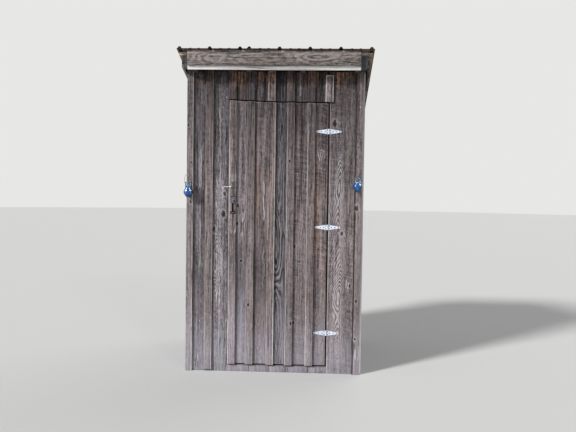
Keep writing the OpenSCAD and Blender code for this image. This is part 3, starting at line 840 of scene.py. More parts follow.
WALL_WOOD = Wood("weathered_boards", "weathered_boards")
TRIM_WOOD = Wood(
    "weathered_battens", "weathered_battens", (0.020, 0.0155, 0.0160), (0.118, 0.097, 0.099),
    (0.068, 0.0540, 0.0560), (0.362, 0.310, 0.318), browning=0.22,
)
CORNER_WOOD = Wood(
    "corner_boards", "weathered_battens", (0.050, 0.042, 0.045), (0.27, 0.235, 0.25),
    (0.080, 0.065, 0.069), (0.37, 0.322, 0.34), browning=0.2,
)
ROOF_WOOD = Wood(
    "roof_boards", "frame_timber", (0.085, 0.060, 0.042), (0.30, 0.235, 0.18),
    inner=(0.40, 0.34, 0.26), streak=2.0, browning=0.2,
)
FRESH_WOOD = Wood(
    "sheltered_boards", "frame_timber", (0.085, 0.056, 0.038), (0.30, 0.225, 0.165),
    (0.075, 0.052, 0.038), (0.27, 0.21, 0.165), bone=(0.42, 0.33, 0.25),
    streak=2.0, browning=0.3, foot_gain=0.0,
)
FASCIA_WOOD = even_wood(
    "eave_boards", "eave_boards", (0.060, 0.049, 0.046), (0.36, 0.325, 0.315),
    inner=(0.06, 0.052, 0.048), streak=0.9, saw=0.3, browning=0.3,
)
# Barge boards near black: painted shade under the roof's overhang.
SHADED_BARGE_WOOD = even_wood(
    "barge_boards", "eave_boards", (0.020, 0.018, 0.018), (0.10, 0.090, 0.088), inner=(0.035, 0.032, 0.031)
)
# The backer is near white, partly a pale board and partly painted light, so that it reads bright in the
# fascia's shadow.
PALE_LIT_WOOD = even_wood(
    "pale_eave_board", "pale_eave_board", (0.66, 0.63, 0.635), (0.97, 0.945, 0.95),
    streak=1.2, ring=0.3, browning=0.1,
)


# Boards


@dataclass(frozen=True)
class Mark:
    """A knot, a bleached strand or a patch of bare rings on a board.

    x is across from the board's middle, z along from its first end, size the radius of a knot or half the
    length of a strand or patch. Below zero, a strand is an ochre band and a patch an eye of closed rings.
    """

    x: float
    z: float
    size: float


# A mark so far below the board that it doesn't show.
NO_MARK = Mark(0, -30, 0.01)
# Boards wider than this are cupped, by this much at most.
BROAD = 0.09
CUP = 0.0012
# Distance of the stations along a board, at which its edges and face can waver.
STATION = 0.11
# How far the edges and the face waver inwards, and how deep their chips are.
EDGE_WAVER = 0.0016
EDGE_CHIP = 0.0030
FACE_WAVER = 0.0008
FACE_CHIP = 0.0012


@dataclass(frozen=True)
class Look:
    """How one board came off the log and weathered.

    Attributes:
        tone: how much lighter or darker it is than its neighbours.
        warmth: share of brown.
        cool: share of purple grey.
        rain: how much higher, in metres, the rain reaches on it.
        pith: place of the log's middle, across from the board's middle.
        pith_depth: how far the log's middle lies behind its face.
        pitch: spacing of the rings.
        curl: how far the log wanders, in metres.
        wander: how many times it does so to a metre.
        figure: strength of the rings.
        sawn: strength of the saw's marks.
        stained: strength of the brown stain under the roof.
        bleach: how white the rings are in its patches, and how mottled it is.
        shade: height of its lighter or darker stretch, how much lighter that is, and the taper of its rings.
        worn: wear of its left and right edge and of its top; above zero they are pale, which is bleaching
            and, on the battens' lit left arrises, a painted highlight; below zero they are dark, which is
            painted contact shade.
        knots: its knots, at most three.
        streaks: its bleached strands and ochre bands, at most three.
        patches: its patches of bare rings, at most two.
    """

    tone: float = 0.0
    warmth: float = 0.0
    cool: float = 0.0
    rain: float = 0.0
    pith: float = 0.02
    pith_depth: float = 0.04
    pitch: float = 0.009
    curl: float = 0.04
    wander: float = 3.0
    figure: float = 0.28
    sawn: float = 0.45
    stained: float = 0.5
    bleach: float = 0.5
    shade: tuple[float, float, float] = (0.0, 0.0, 0.014)
    worn: tuple[float, float, float] = (0.0, 0.0, 0.0)
    knots: tuple[Mark, ...] = ()
    streaks: tuple[Mark, ...] = ()
    patches: tuple[Mark, ...] = ()

    @staticmethod
    def any(rng: random.Random, width: float, length: float, spread: float = 0.12) -> "Look":
        """Picks a look at random.

        Args:
            rng: seeded source of chance.
            width: the board's width.
            length: the board's length.
            spread: how far its brightness may stray.

        Returns:
            The look.
        """
        pick = rng.uniform
        reach = width * 0.42

        def marks(most: int, low: float, high: float) -> tuple[Mark, ...]:
            """Up to so many marks of a size between two."""
            turns = range(rng.randint(0, most) if length > 0.5 else 0)
            return tuple(Mark(pick(-reach, reach), pick(0.06, 0.94) * length, pick(low, high)) for _ in turns)

        return Look(
            tone=pick(-spread, spread), warmth=max(0.0, pick(-0.4, 0.4)), cool=max(0.0, pick(-0.5, 0.6)),
            rain=pick(-0.15, 0.15), pith=pick(-0.5, 0.5) * width, pith_depth=pick(0.006, 0.08),
            pitch=pick(0.007, 0.014), curl=pick(0.02, 0.20), wander=pick(1.6, 3.6),
            figure=rng.choice((0.12, 0.25, 0.35, 0.60)), sawn=pick(0.1, 0.9), stained=pick(0.0, 0.9),
            bleach=pick(0.1, 0.6), worn=(pick(-0.3, 0.7), pick(-0.3, 0.7), 0.0),
            knots=marks(3, 0.004, 0.010), streaks=marks(1, 0.06, 0.2), patches=marks(2, 0.06, 0.3),
        )


@dataclass
class Board:
    """One sawn board.

    Attributes:
        start: middle of its face at its first end.
        along: direction of its length.
        out: direction its face looks.
        width: size across.
        thick: thickness.
        length: size along.
        look: its grain and weathering.
        cuts: planes as (point, normal); what lies on the normal's side is sawn off.
        arris: width of its worn edges.
    """

    start: Vector
    along: Vector
    out: Vector
    width: float
    thick: float
    length: float
    look: Look = field(default_factory=Look)
    cuts: Sequence[Cut] = ()
    arris: float = 0.0022

    def matrix(self) -> Matrix:
        """Turns the board's own axes (across, into the board, along) into the frame's."""
        turned = Matrix((self.along.cross(self.out), -self.out, self.along)).transposed().to_4x4()
        return Matrix.Translation(self.start) @ turned

    def shape(self, seed: int) -> Shape:
        """Saws the board, wears its edges and writes its grain.

        Args:
            seed: number that sets its wear and grain apart from other boards.

        Returns:
            The board in the frame.
        """
        bm = bmesh.new()
        size = Vector((self.width, self.thick, self.length))
        middle = Vector((0, self.thick / 2, self.length / 2))
        bmesh.ops.create_cube(bm, size=1.0, matrix=Matrix.LocRotScale(middle, None, size))
        self.divide(bm)
        place = self.matrix()
        back = place.inverted()
        for point, normal in self.cuts:
            self.saw(bm, back @ point, back.to_3x3() @ normal)
        self.wear(bm, seed)
        self.write(bm, seed)
        bmesh.ops.transform(bm, matrix=place, verts=bm.verts[:])
        return bm

    def divide(self, bm: Shape) -> None:
        """Cuts the board into stations along it and three strips across it, so that it can warp.

        Args:
            bm: the board.
        """
        def runs(axis: int) -> list[bmesh.types.BMEdge]:
            """Edges that lie along one of the board's own axes."""
            return [e for e in bm.edges if abs((e.verts[0].co - e.verts[1].co).normalized()[axis]) > 0.9]

        if self.width > BROAD:
            bmesh.ops.subdivide_edges(bm, edges=runs(0), cuts=2, use_grid_fill=True)
        stations = max(1, round(self.length / STATION))
        bmesh.ops.subdivide_edges(bm, edges=runs(2), cuts=stations, use_grid_fill=True)

    @staticmethod
    def saw(bm: Shape, point: Vector, normal: Vector) -> None:
        """Cuts everything off beyond a plane and closes the cut.

        Args:
            bm: the board.
            point: a point of the plane, on the board's own axes.
            normal: the side that goes.
        """
        found = bmesh.ops.bisect_plane(
            bm, geom=bm.verts[:] + bm.edges[:] + bm.faces[:], dist=1e-6, plane_co=point, plane_no=normal,
            clear_outer=True, clear_inner=False,
        )
        rim = [g for g in found["geom_cut"] if isinstance(g, bmesh.types.BMEdge) and g.is_boundary]
        if rim:
            bmesh.ops.holes_fill(bm, edges=rim, sides=0)

    def wear(self, bm: Shape, seed: int) -> None:
        """Bevels the arrises, cups the face and lets the edges waver, never outwards.

        Args:
            bm: the board.
            seed: number of its noise.
        """
        sharp = [e for e in bm.edges if e.is_manifold and e.calc_face_angle(0.0) > 0.7]
        bmesh.ops.bevel(
            bm, geom=sharp, offset=self.arris, offset_type="OFFSET", segments=2, profile=0.5, affect="EDGES",
            clamp_overlap=True, material=-1,
        )
        half = self.width / 2
        cup = CUP * noise.noise(Vector((seed * 7.3, 0.5, 0.5))) if self.width > BROAD else 0.0
        for v in bm.verts:
            side = v.co.x / half
            waver = abs(noise.noise(Vector((v.co.z * 5.0, seed * 3.1, math.copysign(4.0, side)))))
            chip = max(0.0, noise.noise(Vector((v.co.z * 23.0, seed * 1.7, side * 3.0))) - 0.25)
            v.co.x -= side * (EDGE_WAVER * waver + EDGE_CHIP * chip)
            if v.co.y < self.thick / 2:
                hollow = 1 - side * side if cup > 0 else side * side
                v.co.y += FACE_WAVER * waver + FACE_CHIP * chip + abs(cup) * hollow

    def write(self, bm: Shape, seed: int) -> None:
        """Writes the vectors that Wood reads on every corner.

        Args:
            bm: the board, on its own axes.
            seed: number of its noise.
        """
        rng = random.Random(seed * 911 + 5)
        look = self.look
        same = {
            "seed": tuple(rng.uniform(0, 60) for _ in range(3)),
            "span": (self.width / 2, self.length, look.curl),
            "tint": (look.tone, look.warmth, look.rain),
            "figure": (look.pith, look.pith_depth, look.pitch),
            "mood": (look.figure, look.sawn, look.stained),
            "air": (look.bleach, look.cool, look.wander),
            "shade": look.shade,
            "worn": look.worn,
        }
        kinds = (("knot", look.knots, "abc", KNOT_SQUEEZE), ("streak", look.streaks, "abc", 1.0),
                 ("patch", look.patches, "ab", 1.0))
        for kind, given, letters, squeeze in kinds:
            for letter, mark in zip(letters, [*given, *[NO_MARK] * len(letters)]):
                same[f"{kind}_{letter}"] = (mark.x, mark.z / squeeze, mark.size)
        layers = {name: bm.verts.layers.float_vector.new(name) for name in ("grain", *same)}
        for v in bm.verts:
            v[layers["grain"]] = v.co.copy()
            for name, value in same.items():
                v[layers[name]] = value


@dataclass
class Piece:
    """One object of the scene, joined from many small shapes.

    Attributes:
        name: the object's name.
        body: the CAD body that it rides on.
        finish: its finish.
        slot: the record's material slot; not used.
        stands_for: CAD nodes that it replaces.
        smooth: angle in radians up to which its edges look round.
    """

    name: str
    body: str
    finish: Finish
    slot: str
    stands_for: Sequence[str] = ()
    smooth: float = 0.6
    _mesh: Shape = field(default_factory=bmesh.new)

    def add(self, shape: Shape) -> None:
        """Joins a shape to the piece and frees it.

        Args:
            shape: the shape, in the frame.
        """
        spare = bpy.data.meshes.new("spare")
        shape.to_mesh(spare)
        shape.free()
        self._mesh.from_mesh(spare)
        bpy.data.meshes.remove(spare)

    def done(self) -> bpy.types.Object:
        """Makes the object, shades it, dresses it and sets it on its body.

        Returns:
            The object.
        """
        bmesh.ops.recalc_face_normals(self._mesh, faces=self._mesh.faces[:])
        for face in self._mesh.faces:
            face.smooth = True
        for edge in self._mesh.edges:
            edge.smooth = len(edge.link_faces) == 2 and edge.calc_face_angle(0.0) < self.smooth
        mesh = bpy.data.meshes.new(self.name)
        self._mesh.to_mesh(mesh)
        self._mesh.free()
        mesh.materials.append(material_of(self.finish))
        made = bpy.data.objects.new(self.name, mesh)
        bpy.context.scene.collection.objects.link(made)
        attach(made, self.body)
        if self.stands_for:
            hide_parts(*self.stands_for)
        triangles = sum(len(p.vertices) - 2 for p in mesh.polygons)
        LOG.info("%s: %d triangles on %s", self.name, triangles, self.body)
        return made


def planks(name: str, wood: Wood, node: str, boards: Iterable[Board], seed: int, body: str = "building",
           slot: Optional[str] = None) -> None:
    """Saws boards and joins them in one piece.

    Args:
        name: the piece's name.
        wood: its finish.
        node: the CAD node that it replaces.
        boards: the boards.
        seed: number of the first one.
        body: the CAD body that it rides on.
        slot: the record's material slot, if it isn't the wood's own.
    """
    piece = Piece(name, body, wood, slot or wood.slot, [node])
    for i, board in enumerate(boards):
        piece.add(board.shape(seed + i))
    piece.done()


def dress(finish: Finish, *nodes: str) -> None:
    """Gives CAD nodes a finish in place of their flat colour.

    Args:
        finish: the finish.
        nodes: the nodes' names.
    """
    for name in nodes:
        node = frame["nodes"][name]
        node.data.materials.clear()
        node.data.materials.append(material_of(finish))
        LOG.info("%s: dressed", name)


def cone(bm: Shape, place: Matrix, foot: float, low_r: float, top_r: float, height: float,
         sides: int) -> list[bmesh.types.BMVert]:
    """Adds a blunt cone.

    Args:
        bm: the mesh.
        place: where it stands, its axis along the place's z.
        foot: height of its foot over the place.
        low_r: radius of its foot.
        top_r: radius of its top.
        height: its height.
        sides: sides of its rim.

    Returns:
        Its vertices.
    """
    middle = place @ Matrix.Translation((0, 0, foot + height / 2))
    made = bmesh.ops.create_cone(bm, cap_ends=True, segments=sides, radius1=low_r, radius2=top_r,
                                 depth=height, matrix=middle)
    return made["verts"]


# The building's lines


@dataclass(frozen=True)
class Lines:
    """The lines that all the boards keep to, in metres."""

    half: float = 0.686
    face: float = 0.667
    frame: float = 0.642
    board: float = 0.025
    trim: float = 0.019
    slope: float = math.radians(14)
    eave_y: float = 0.806
    eave_z: float = 2.475
    sheathing: float = 0.025
    rafter: float = 0.089
    sub_y: float = 0.768
    door_left: float = -0.356
    door_right: float = 0.407
    door_foot: float = 0.064
    door_top: float = 2.096
    door_gap: float = 0.010
    door_back: float = 0.647
    bend: float = -0.005
    board_rise: float = 0.020
    saw_rise: float = 0.003
    saw_spare: float = 0.006

    def roof(self, y: float) -> float:
        """Height of the top of the sheathing."""
        return self.eave_z - (y + self.eave_y) * math.tan(self.slope)

    def under_sheathing(self, y: float) -> float:
        """Height of the underside of the sheathing."""
        return self.roof(y) - self.sheathing / math.cos(self.slope)

    def under_rafter(self, y: float) -> float:
        """Height of the underside of a rafter."""
        return self.under_sheathing(y) - self.rafter / math.cos(self.slope)

    def cut(self, x: float) -> float:
        """Works out the height of the door's sawn top edge.

        Args:
            x: the place along the front.

        Returns:
            The height.
        """
        if x < self.bend:
            return self.door_top + self.saw_rise + 0.013 * (self.bend - x) / (self.bend - self.door_left)
        return self.door_top + self.saw_rise * (self.door_right - x) / (self.door_right - self.bend)

    def slant(self, drop: float) -> Cut:
        """The plane that takes off what stands higher than this far under the sheathing."""
        return Vector((0, 0, self.under_sheathing(0) - drop)), self.up

    @property
    def down(self) -> Vector:
        """Direction down the roof."""
        return Vector((0, math.cos(self.slope), -math.sin(self.slope)))

    @property
    def up(self) -> Vector:
        """Direction square out of the roof."""
        return Vector((0, math.sin(self.slope), math.cos(self.slope)))


LINES = Lines()


class Layer(Enum):
    """The layers of a wall, each by the distance of its face from the middle and its thickness."""

    BOARDS = (LINES.face, LINES.board)
    DOOR = (LINES.face, LINES.face - LINES.door_back)
    BATTENS = (LINES.half, LINES.trim)


def front_board(x0: float, x1: float, z0: float, z1: float, layer: Layer, look: Look,
                cuts: Sequence[Cut] = ()) -> Board:
    """An upright board on the front.

    Args:
        x0: left edge.
        x1: right edge.
        z0: foot.
        z1: top.
        layer: the layer that it is in.
        look: its look; its marks are given in the frame's x and z.
        cuts: planes that trim it.

    Returns:
        The board.
    """
    middle = (x0 + x1) / 2
    face, thick = layer.value

    def moved(marks: Sequence[Mark]) -> tuple[Mark, ...]:
        """Turns marks from the frame's places to the board's own."""
        return tuple(Mark(m.x - middle, m.z - z0, m.size) for m in marks)

    look = replace(look, knots=moved(look.knots), streaks=moved(look.streaks), patches=moved(look.patches))
    return Board(Vector((middle, -face, z0)), Z_AXIS, Wall.FRONT.out, x1 - x0, thick, z1 - z0, look, cuts)


# Walls


@dataclass
class FrontWall:
    """Boarding round the door, and the battens over it."""

    left_joint: float = -0.510
    gap: float = 0.0012
    door_joints: tuple[float, ...] = (-0.187, -0.026, 0.120, 0.279)
    door_edge: float = -0.362
    hinge_edge: float = 0.419
    head_battens: tuple[float, ...] = (-0.331, -0.191, -0.030, 0.116, 0.275)
    head_batten_w: float = 0.055
    joint_batten: tuple[float, float] = (0.383, 0.443)
    joint_short: float = 0.034
    batten: tuple[float, float] = (-0.539, -0.481)
    batten_foot: float = 0.014

    def build(self) -> None:
        """Builds the boarding and the battens."""
        top = LINES.under_rafter(-LINES.frame) + LINES.board_rise
        trim_top = LINES.under_rafter(-LINES.face) + LINES.board_rise
        planks("left_front_planks", WALL_WOOD, "left_front_boards", [
            front_board(-LINES.face, self.left_joint - self.gap, 0, top, Layer.BOARDS, Look(
                tone=-0.09, cool=0.3, pith_depth=0.03, curl=0.08, figure=0.22, sawn=0.3, stained=0.2,
                bleach=0.7, shade=(0.95, -0.19, 0.014),
                streaks=(Mark(-0.575, 1.58, 0.16), Mark(-0.577, 1.0, 0.20)),
                patches=(Mark(-0.547, 2.15, 0.08),),
            )),
            front_board(self.left_joint + self.gap, self.door_edge, 0, top, Layer.BOARDS, Look(
                tone=0.02, cool=0.5, rain=-0.06, pith=-0.01, pith_depth=0.008, pitch=0.012, curl=0.18,
                wander=2.6, figure=0.3, sawn=0.5, stained=0.1, bleach=0.9, shade=(0.55, 0.24, 0.02),
                knots=(Mark(-0.390, 1.390, 0.010), Mark(-0.398, 1.235, 0.014), Mark(-0.470, 1.112, 0.013)),
                streaks=(Mark(-0.427, 1.87, 0.20), Mark(-0.425, 1.55, 0.09)),
                patches=(Mark(-0.420, 1.32, 0.22), Mark(-0.440, 0.84, 0.32)),
            )),
        ], 11)
        planks("hinge_side_plank", WALL_WOOD, "hinge_side_board", [
            front_board(self.hinge_edge, LINES.face, 0, top, Layer.BOARDS, Look(
                tone=0.03, warmth=0.15, rain=-0.10, pith=-0.042, pith_depth=0.008, pitch=0.013, curl=0.14,
                wander=2.8, figure=0.50, sawn=1.0, stained=0.8, bleach=0.68, shade=(1.45, -0.10, 0.22),
                worn=(0.5, 0.0, 0.0),
                knots=(Mark(0.456, 1.942, 0.014), Mark(0.526, 1.093, 0.010), Mark(0.593, 0.690, 0.007)),
                streaks=(Mark(0.567, 0.705, 0.035), Mark(0.583, 0.695, 0.030)),
                patches=(Mark(0.503, 1.42, 0.32), Mark(0.497, 0.62, 0.34)),
            )),
        ], 21)
        self.over_door(top)
        self.sill()
        self.battens(trim_top)

    def pairs(self) -> list[tuple[float, float]]:
        """Edges of the boards that the door was cut from."""
        edges = (self.door_edge, *self.door_joints, self.hinge_edge)
        return [(a + self.gap, b - self.gap) for a, b in zip(edges, edges[1:])]

    def over_door(self, top: float) -> None:
        """Short boards over the door, cut from the same lengths as the door boards.

        Args:
            top: their top end.
        """
        looks = (
            Look(tone=-0.20, warmth=0.6, stained=1.0, sawn=0.2, bleach=0.8),
            Look(tone=-0.10, stained=1.0, bleach=1.2, sawn=0.1),
            Look(tone=-0.30, cool=0.5, stained=0.2, sawn=0.1, bleach=0.8),
            Look(tone=-0.25, cool=0.2, stained=0.4, sawn=0.1, bleach=0.9, streaks=(Mark(0.19, 2.22, 0.08),)),
            Look(tone=-0.35, cool=0.2, stained=1.0, sawn=0.1, bleach=0.8),
        )
        boards = [
            front_board(a, b, LINES.cut((a + b) / 2) + LINES.saw_spare, top, Layer.BOARDS, look,
                        self.saw_cut(LINES.door_gap))
            for (a, b), look in zip(self.pairs(), looks)
        ]
        planks("over_door_planks", WALL_WOOD, "over_door_boards", boards, 31, slot="shaded_boards")

    @staticmethod
    def saw_cut(lift: float) -> list[Cut]:
        """The sloping saw cut over the door as planes that take off what lies below it.

        Args:
            lift: height above the door's top edge.

        Returns:
            The steeper half on the left and the flatter one on the right.
        """
        bend = Vector((LINES.bend, 0, LINES.cut(LINES.bend) + lift))
        planes = []
        for x, side in ((LINES.door_left, -1), (LINES.door_right, 1)):
            run = (Vector((x, 0, LINES.cut(x) + lift)) - bend).normalized() * side
            planes.append((bend, Vector((run.z, 0, -run.x))))
        return planes

    def sill(self) -> None:
        """The feet of the boards that the door was cut from, below it."""
        rng = random.Random(41)
        high = LINES.door_foot - LINES.door_gap
        boards = []
        for a, b in self.pairs():
            look = replace(Look.any(rng, b - a + 2 * self.gap, high, 0.05), figure=0.1, sawn=0.1, cool=0.4)
            boards.append(front_board(a, b, 0, high, Layer.BOARDS, look))
        planks("door_sill_planks", WALL_WOOD, "door_sill_board", boards, 41)

    def battens(self, top: float) -> None:
        """The full batten left of the door, the short ones over it and the bleached one over the hinges.

        Args:
            top: their top end.
        """
        # The pale left edges of the battens are partly bleaching and partly a painted highlight on arrises
        # that face the key lamp.
        looks = (
            Look(tone=-0.15, warmth=0.3, stained=0.9, worn=(0.2, 0.0, 0.0)),
            Look(tone=-0.05, cool=0.9, stained=0.1),
            Look(tone=0.35, warmth=0.9, stained=1.0, curl=0.1, bleach=0.9, worn=(0.7, 0.6, 0.0)),
            Look(tone=-0.15, stained=0.2, worn=(0.4, 0.3, 0.0)),
            Look(tone=-0.25, cool=0.3, stained=0.8, worn=(0.3, 0.0, 0.0)),
        )
        half = self.head_batten_w / 2
        boards = [front_board(*self.batten, self.batten_foot, top, Layer.BATTENS, Look(
            warmth=0.15, pith=0.03, figure=0.15, stained=0.4, worn=(0.2, 0.4, 0.0),
            shade=(2.30, -0.30, 0.014),
        ))]
        for x, look in zip(self.head_battens, looks):
            low = LINES.cut(x) + LINES.saw_spare
            boards.append(front_board(x - half, x + half, low, top, Layer.BATTENS, look,
                                      self.saw_cut(LINES.door_gap)))
        low = LINES.door_top + LINES.door_gap
        boards.append(front_board(*self.joint_batten, low, top - self.joint_short, Layer.BATTENS, Look(
            tone=1.05, rain=-0.02, figure=0.15, stained=0.0, bleach=0.8, worn=(0.9, 0.8, 1.0),
        )))
        planks("front_batten_strips", TRIM_WOOD, "front_battens", boards, 51)


@dataclass
class PlainWall:
    """A side or the back: upright boards with a batten over each joint."""

    wall: Wall
    label: str
    seed: int
    count: int = 9
    batten_w: float = 0.058

    def build(self) -> None:
        """Builds the boards and the battens."""
        reach = LINES.face if self.wall is Wall.BACK else LINES.frame
        rng = random.Random(self.seed)
        pitch = 2 * LINES.face / self.count
        joints = [-reach] + [i * pitch - LINES.face for i in range(1, self.count)] + [reach]
        boards = []
        for i, (a, b) in enumerate(zip(joints, joints[1:])):
            a += FrontWall.gap * (i > 0)
            b -= FrontWall.gap * (i < self.count - 1)
            boards.append(self.upright(a, b, 0.0, Layer.BOARDS, 0.0, rng))
        planks(f"{self.label}_wall_planks", WALL_WOOD, f"{self.label}_wall_boards", boards, self.seed)
        half = self.batten_w / 2
        drop = CornerTrim.frieze + CornerTrim.hair
        strips = [self.upright(j - half, j + half, FrontWall.batten_foot, Layer.BATTENS, drop, rng)
                  for j in joints[1:-1]]
        planks(f"{self.label}_wall_strips", TRIM_WOOD, f"{self.label}_wall_battens", strips, self.seed + 20)

    def upright(self, a: float, b: float, foot: float, layer: Layer, drop: float,
                rng: random.Random) -> Board:
        """One upright board between two places along the wall.

        Args:
            a: first edge, to the right as seen from outside.
            b: second edge.
            foot: height of its foot.
            layer: the layer that it is in.
            drop: how far under the sheathing its sloping top is; on the back, the top is level.
            rng: seeded source of chance.

        Returns:
            The board.
        """
        face, thick = layer.value
        start = self.wall.out * face + self.wall.sideways * (a + b) / 2 + Z_AXIS * foot
        if self.wall is Wall.BACK:
            top = LINES.under_rafter(face)
            cuts: list[Cut] = []
        else:
            top = LINES.under_sheathing(-LINES.face)
            cuts = [LINES.slant(drop)]
        look = Look.any(rng, b - a, top - foot)
        return Board(start, Z_AXIS, self.wall.out, b - a, thick, top - foot, look, cuts)


@dataclass
class CornerTrim:
    """Corner boards on all four corners, and the sloping frieze boards under the roof."""

    left: tuple[float, float] = (-0.686, -0.636)
    right: tuple[float, float] = (0.616, 0.673)
    width: float = 0.064
    frieze: float = 0.089
    hair: float = 0.00003

    def build(self) -> None:
        """Builds the corner boards and the frieze."""
        front_top = LINES.under_rafter(-LINES.face) + LINES.board_rise
        back_top = LINES.under_rafter(LINES.half)
        rng = random.Random(61)
        ends = [
            front_board(*self.left, 0, front_top, Layer.BATTENS, Look(
                tone=0.05, warmth=0.1, pith=0.05, figure=0.12, stained=0.0, worn=(0.1, 0.8, 0.0),
                knots=(Mark(-0.674, 1.918, 0.007), Mark(-0.651, 1.630, 0.006), Mark(-0.653, 1.323, 0.008)),
            )),
            # The right corner board's left edge is painted dark: painted contact shade in the seam beside the
            # boards.
            front_board(*self.right, 0, front_top, Layer.BATTENS, Look(
                tone=-0.10, warmth=0.35, cool=0.3, rain=-0.12, pith=-0.04, curl=0.1, figure=0.2, stained=0.0,
                worn=(-1.5, 0.0, 0.0), shade=(1.70, 0.30, 0.014),
                knots=(Mark(0.633, 1.295, 0.012), Mark(0.641, 0.575, 0.008), Mark(0.637, 0.278, 0.007)),
                patches=(Mark(0.657, 0.163, 0.05),),
            )),
        ]
        for side in (-1, 1):
            start = Vector((side * (LINES.half - self.width / 2), LINES.half, 0))
            ends.append(Board(start, Z_AXIS, Wall.BACK.out, self.width, LINES.trim, back_top,
                              Look.any(rng, self.width, back_top)))
        planks("end_corner_strips", CORNER_WOOD, "end_corner_boards", ends, 61)
        sides = []
        slant = LINES.slant(self.frieze + self.hair)
        for wall in (Wall.LEFT, Wall.RIGHT):
            for y in (-LINES.face + self.width / 2, LINES.face - self.width / 2):
                start = Vector((wall.out.x * LINES.half, y, 0))
                top = LINES.under_sheathing(-LINES.face)
                look = Look.any(rng, self.width, top)
                # The front side board on the right is lighter with a pale front edge: painted light, so that
                # the edge reads bright in the corner board's shadow.
                if wall is Wall.RIGHT and y < 0:
                    look = replace(look, tone=0.35, worn=(1.0, 0.0, 0.0))
                sides.append(Board(start, Z_AXIS, wall.out, self.width, LINES.trim, top, look, [slant]))
        planks("side_corner_strips", CORNER_WOOD, "side_corner_boards", sides, 71)
        friezes = [
            sloping_board(wall, LINES.half, LINES.trim, LINES.face, self.frieze * math.cos(LINES.slope),
                          Look.any(rng, self.frieze, 1.3))
            for wall in (Wall.LEFT, Wall.RIGHT)
        ]
        planks("frieze_strips", WALL_WOOD, "frieze_boards", friezes, 81)


def sloping_board(wall: Wall, face: float, thick: float, reach: float, width: float, look: Look) -> Board:
    """A board down a side under the sheathing, with plumb ends.

    Args:
        wall: the side.
        face: distance of its face from the middle.
        thick: thickness.
        reach: distance of its ends from the middle.
        width: size square to the slope.
        look: its look.

    Returns:
        The board.
    """
    spare = 0.03
    start_y = -reach - spare
    start = Vector((wall.out.x * face, start_y, LINES.under_sheathing(start_y))) - LINES.up * width / 2
    length = 2 * (reach + spare) / math.cos(LINES.slope)
    cuts = [(Vector((0, -reach, 0)), -Y_AXIS), (Vector((0, reach, 0)), Y_AXIS)]
    return Board(start, LINES.down, wall.out, width, thick, length, look, cuts)


# Roof


@dataclass
class Eaves:
    """Sheathing boards, barge boards and fascias."""

    fascia: float = 0.019
    fascia_h: float = 0.115
    backer_h: float = 0.140
    left: float = -0.667
    right: float = 0.646
    sheathing_x: float = 0.735
    barge_x: float = 0.714
    barge_t: float = 0.020
    board_count: int = 11
    board_gap: float = 0.003
    edge_spare: float = 0.008
    uneven: float = 0.007

    def build(self) -> None:
        """Builds the boards of the eaves and the roof."""
        self.sheathing()
        self.barges()
        self.fascias()

    def sheathing(self) -> None:
        """Boards across the rafters, with uneven ends."""
        rng = random.Random(91)
        slope_length = 2 * LINES.sub_y / math.cos(LINES.slope)
        pitch = slope_length / self.board_count
        first = Vector((0, -LINES.sub_y, LINES.roof(-LINES.sub_y)))
        ends = [(Vector((0, -LINES.sub_y, 0)), -Y_AXIS), (Vector((0, LINES.sub_y, 0)), Y_AXIS)]
        boards = []
        for i in range(self.board_count):
            width = pitch - self.board_gap
            if i in (0, self.board_count - 1):
                width += 2 * self.edge_spare
            middle = first + LINES.down * (pitch * (i + 0.5))
            low, high = rng.uniform(0.0, self.uneven), rng.uniform(0.0, self.uneven)
            if i == 0:
                low = high = 0.0
            start = middle - X_AXIS * (self.sheathing_x - low)
            length = 2 * self.sheathing_x - low - high
            # The front board is made much lighter: painted light, so that its ends read bright in the shadow
            # of the roof metal.
            look = replace(Look.any(rng, pitch, length, 0.2), tone=1.2 if i == 0 else 0.0, stained=0.0)
            boards.append(Board(start, X_AXIS, LINES.up, width, LINES.sheathing, length, look, ends))
        planks("roof_planks", ROOF_WOOD, "roof_sheathing", boards, 91)

    def barges(self) -> None:
        """The sloping boards that close the roof's sides."""
        rng = random.Random(111)
        boards = [
            sloping_board(wall, self.barge_x, self.barge_t, LINES.sub_y, LINES.rafter,
                          Look.any(rng, LINES.rafter, 1.5))
            for wall in (Wall.LEFT, Wall.RIGHT)
        ]
        planks("barge_planks", SHADED_BARGE_WOOD, "barge_boards", boards, 111)

    def fascias(self) -> None:
        """The front fascia with its pale backing board, and the back fascia."""
        y = -LINES.eave_y + self.fascia
        back_y = LINES.sub_y + self.fascia
        low, high = LINES.roof(back_y) - self.backer_h, LINES.roof(LINES.sub_y)
        fascia_z, backer_z = LINES.eave_z - self.fascia_h / 2, LINES.roof(y) - self.backer_h / 2
        length = self.right - self.left
        # The fascia's bottom edge is painted a little dark: painted shade where it stands out over the pale
        # backer.
        front_look = Look(
            warmth=0.05, pith=0.004, pith_depth=0.006, pitch=0.024, curl=0.16, wander=1.7, figure=0.24,
            sawn=0.1, stained=0.0, bleach=0.62, shade=(0.0, 0.0, 0.0), worn=(0.0, -0.12, 0.0),
            patches=(Mark(0.0, 0.165, -0.17), Mark(0.0, 0.96, -0.20)),
        )
        for node, wood, wall, start, width, long, look, seed in (
            ("front_fascia", FASCIA_WOOD, Wall.FRONT, (self.left, -LINES.eave_y, fascia_z), self.fascia_h,
             length, front_look, 121),
            ("front_fascia_backer", PALE_LIT_WOOD, Wall.FRONT, (self.left, y, backer_z), self.backer_h,
             length, Look(figure=0.1, sawn=0.1, stained=0.0), 131),
            ("back_fascia", FASCIA_WOOD, Wall.BACK, (-self.sheathing_x, back_y, (low + high) / 2), high - low,
             2 * self.sheathing_x, Look(tone=-0.05, stained=0.0, figure=0.4), 141),
        ):
            cuts = [(Vector((0, -LINES.eave_y, LINES.eave_z)), LINES.up)]
            board = Board(Vector(start), X_AXIS, wall.out, width, self.fascia, long, look, cuts)
            planks(f"{node}_plank", wood, node, [board], seed)


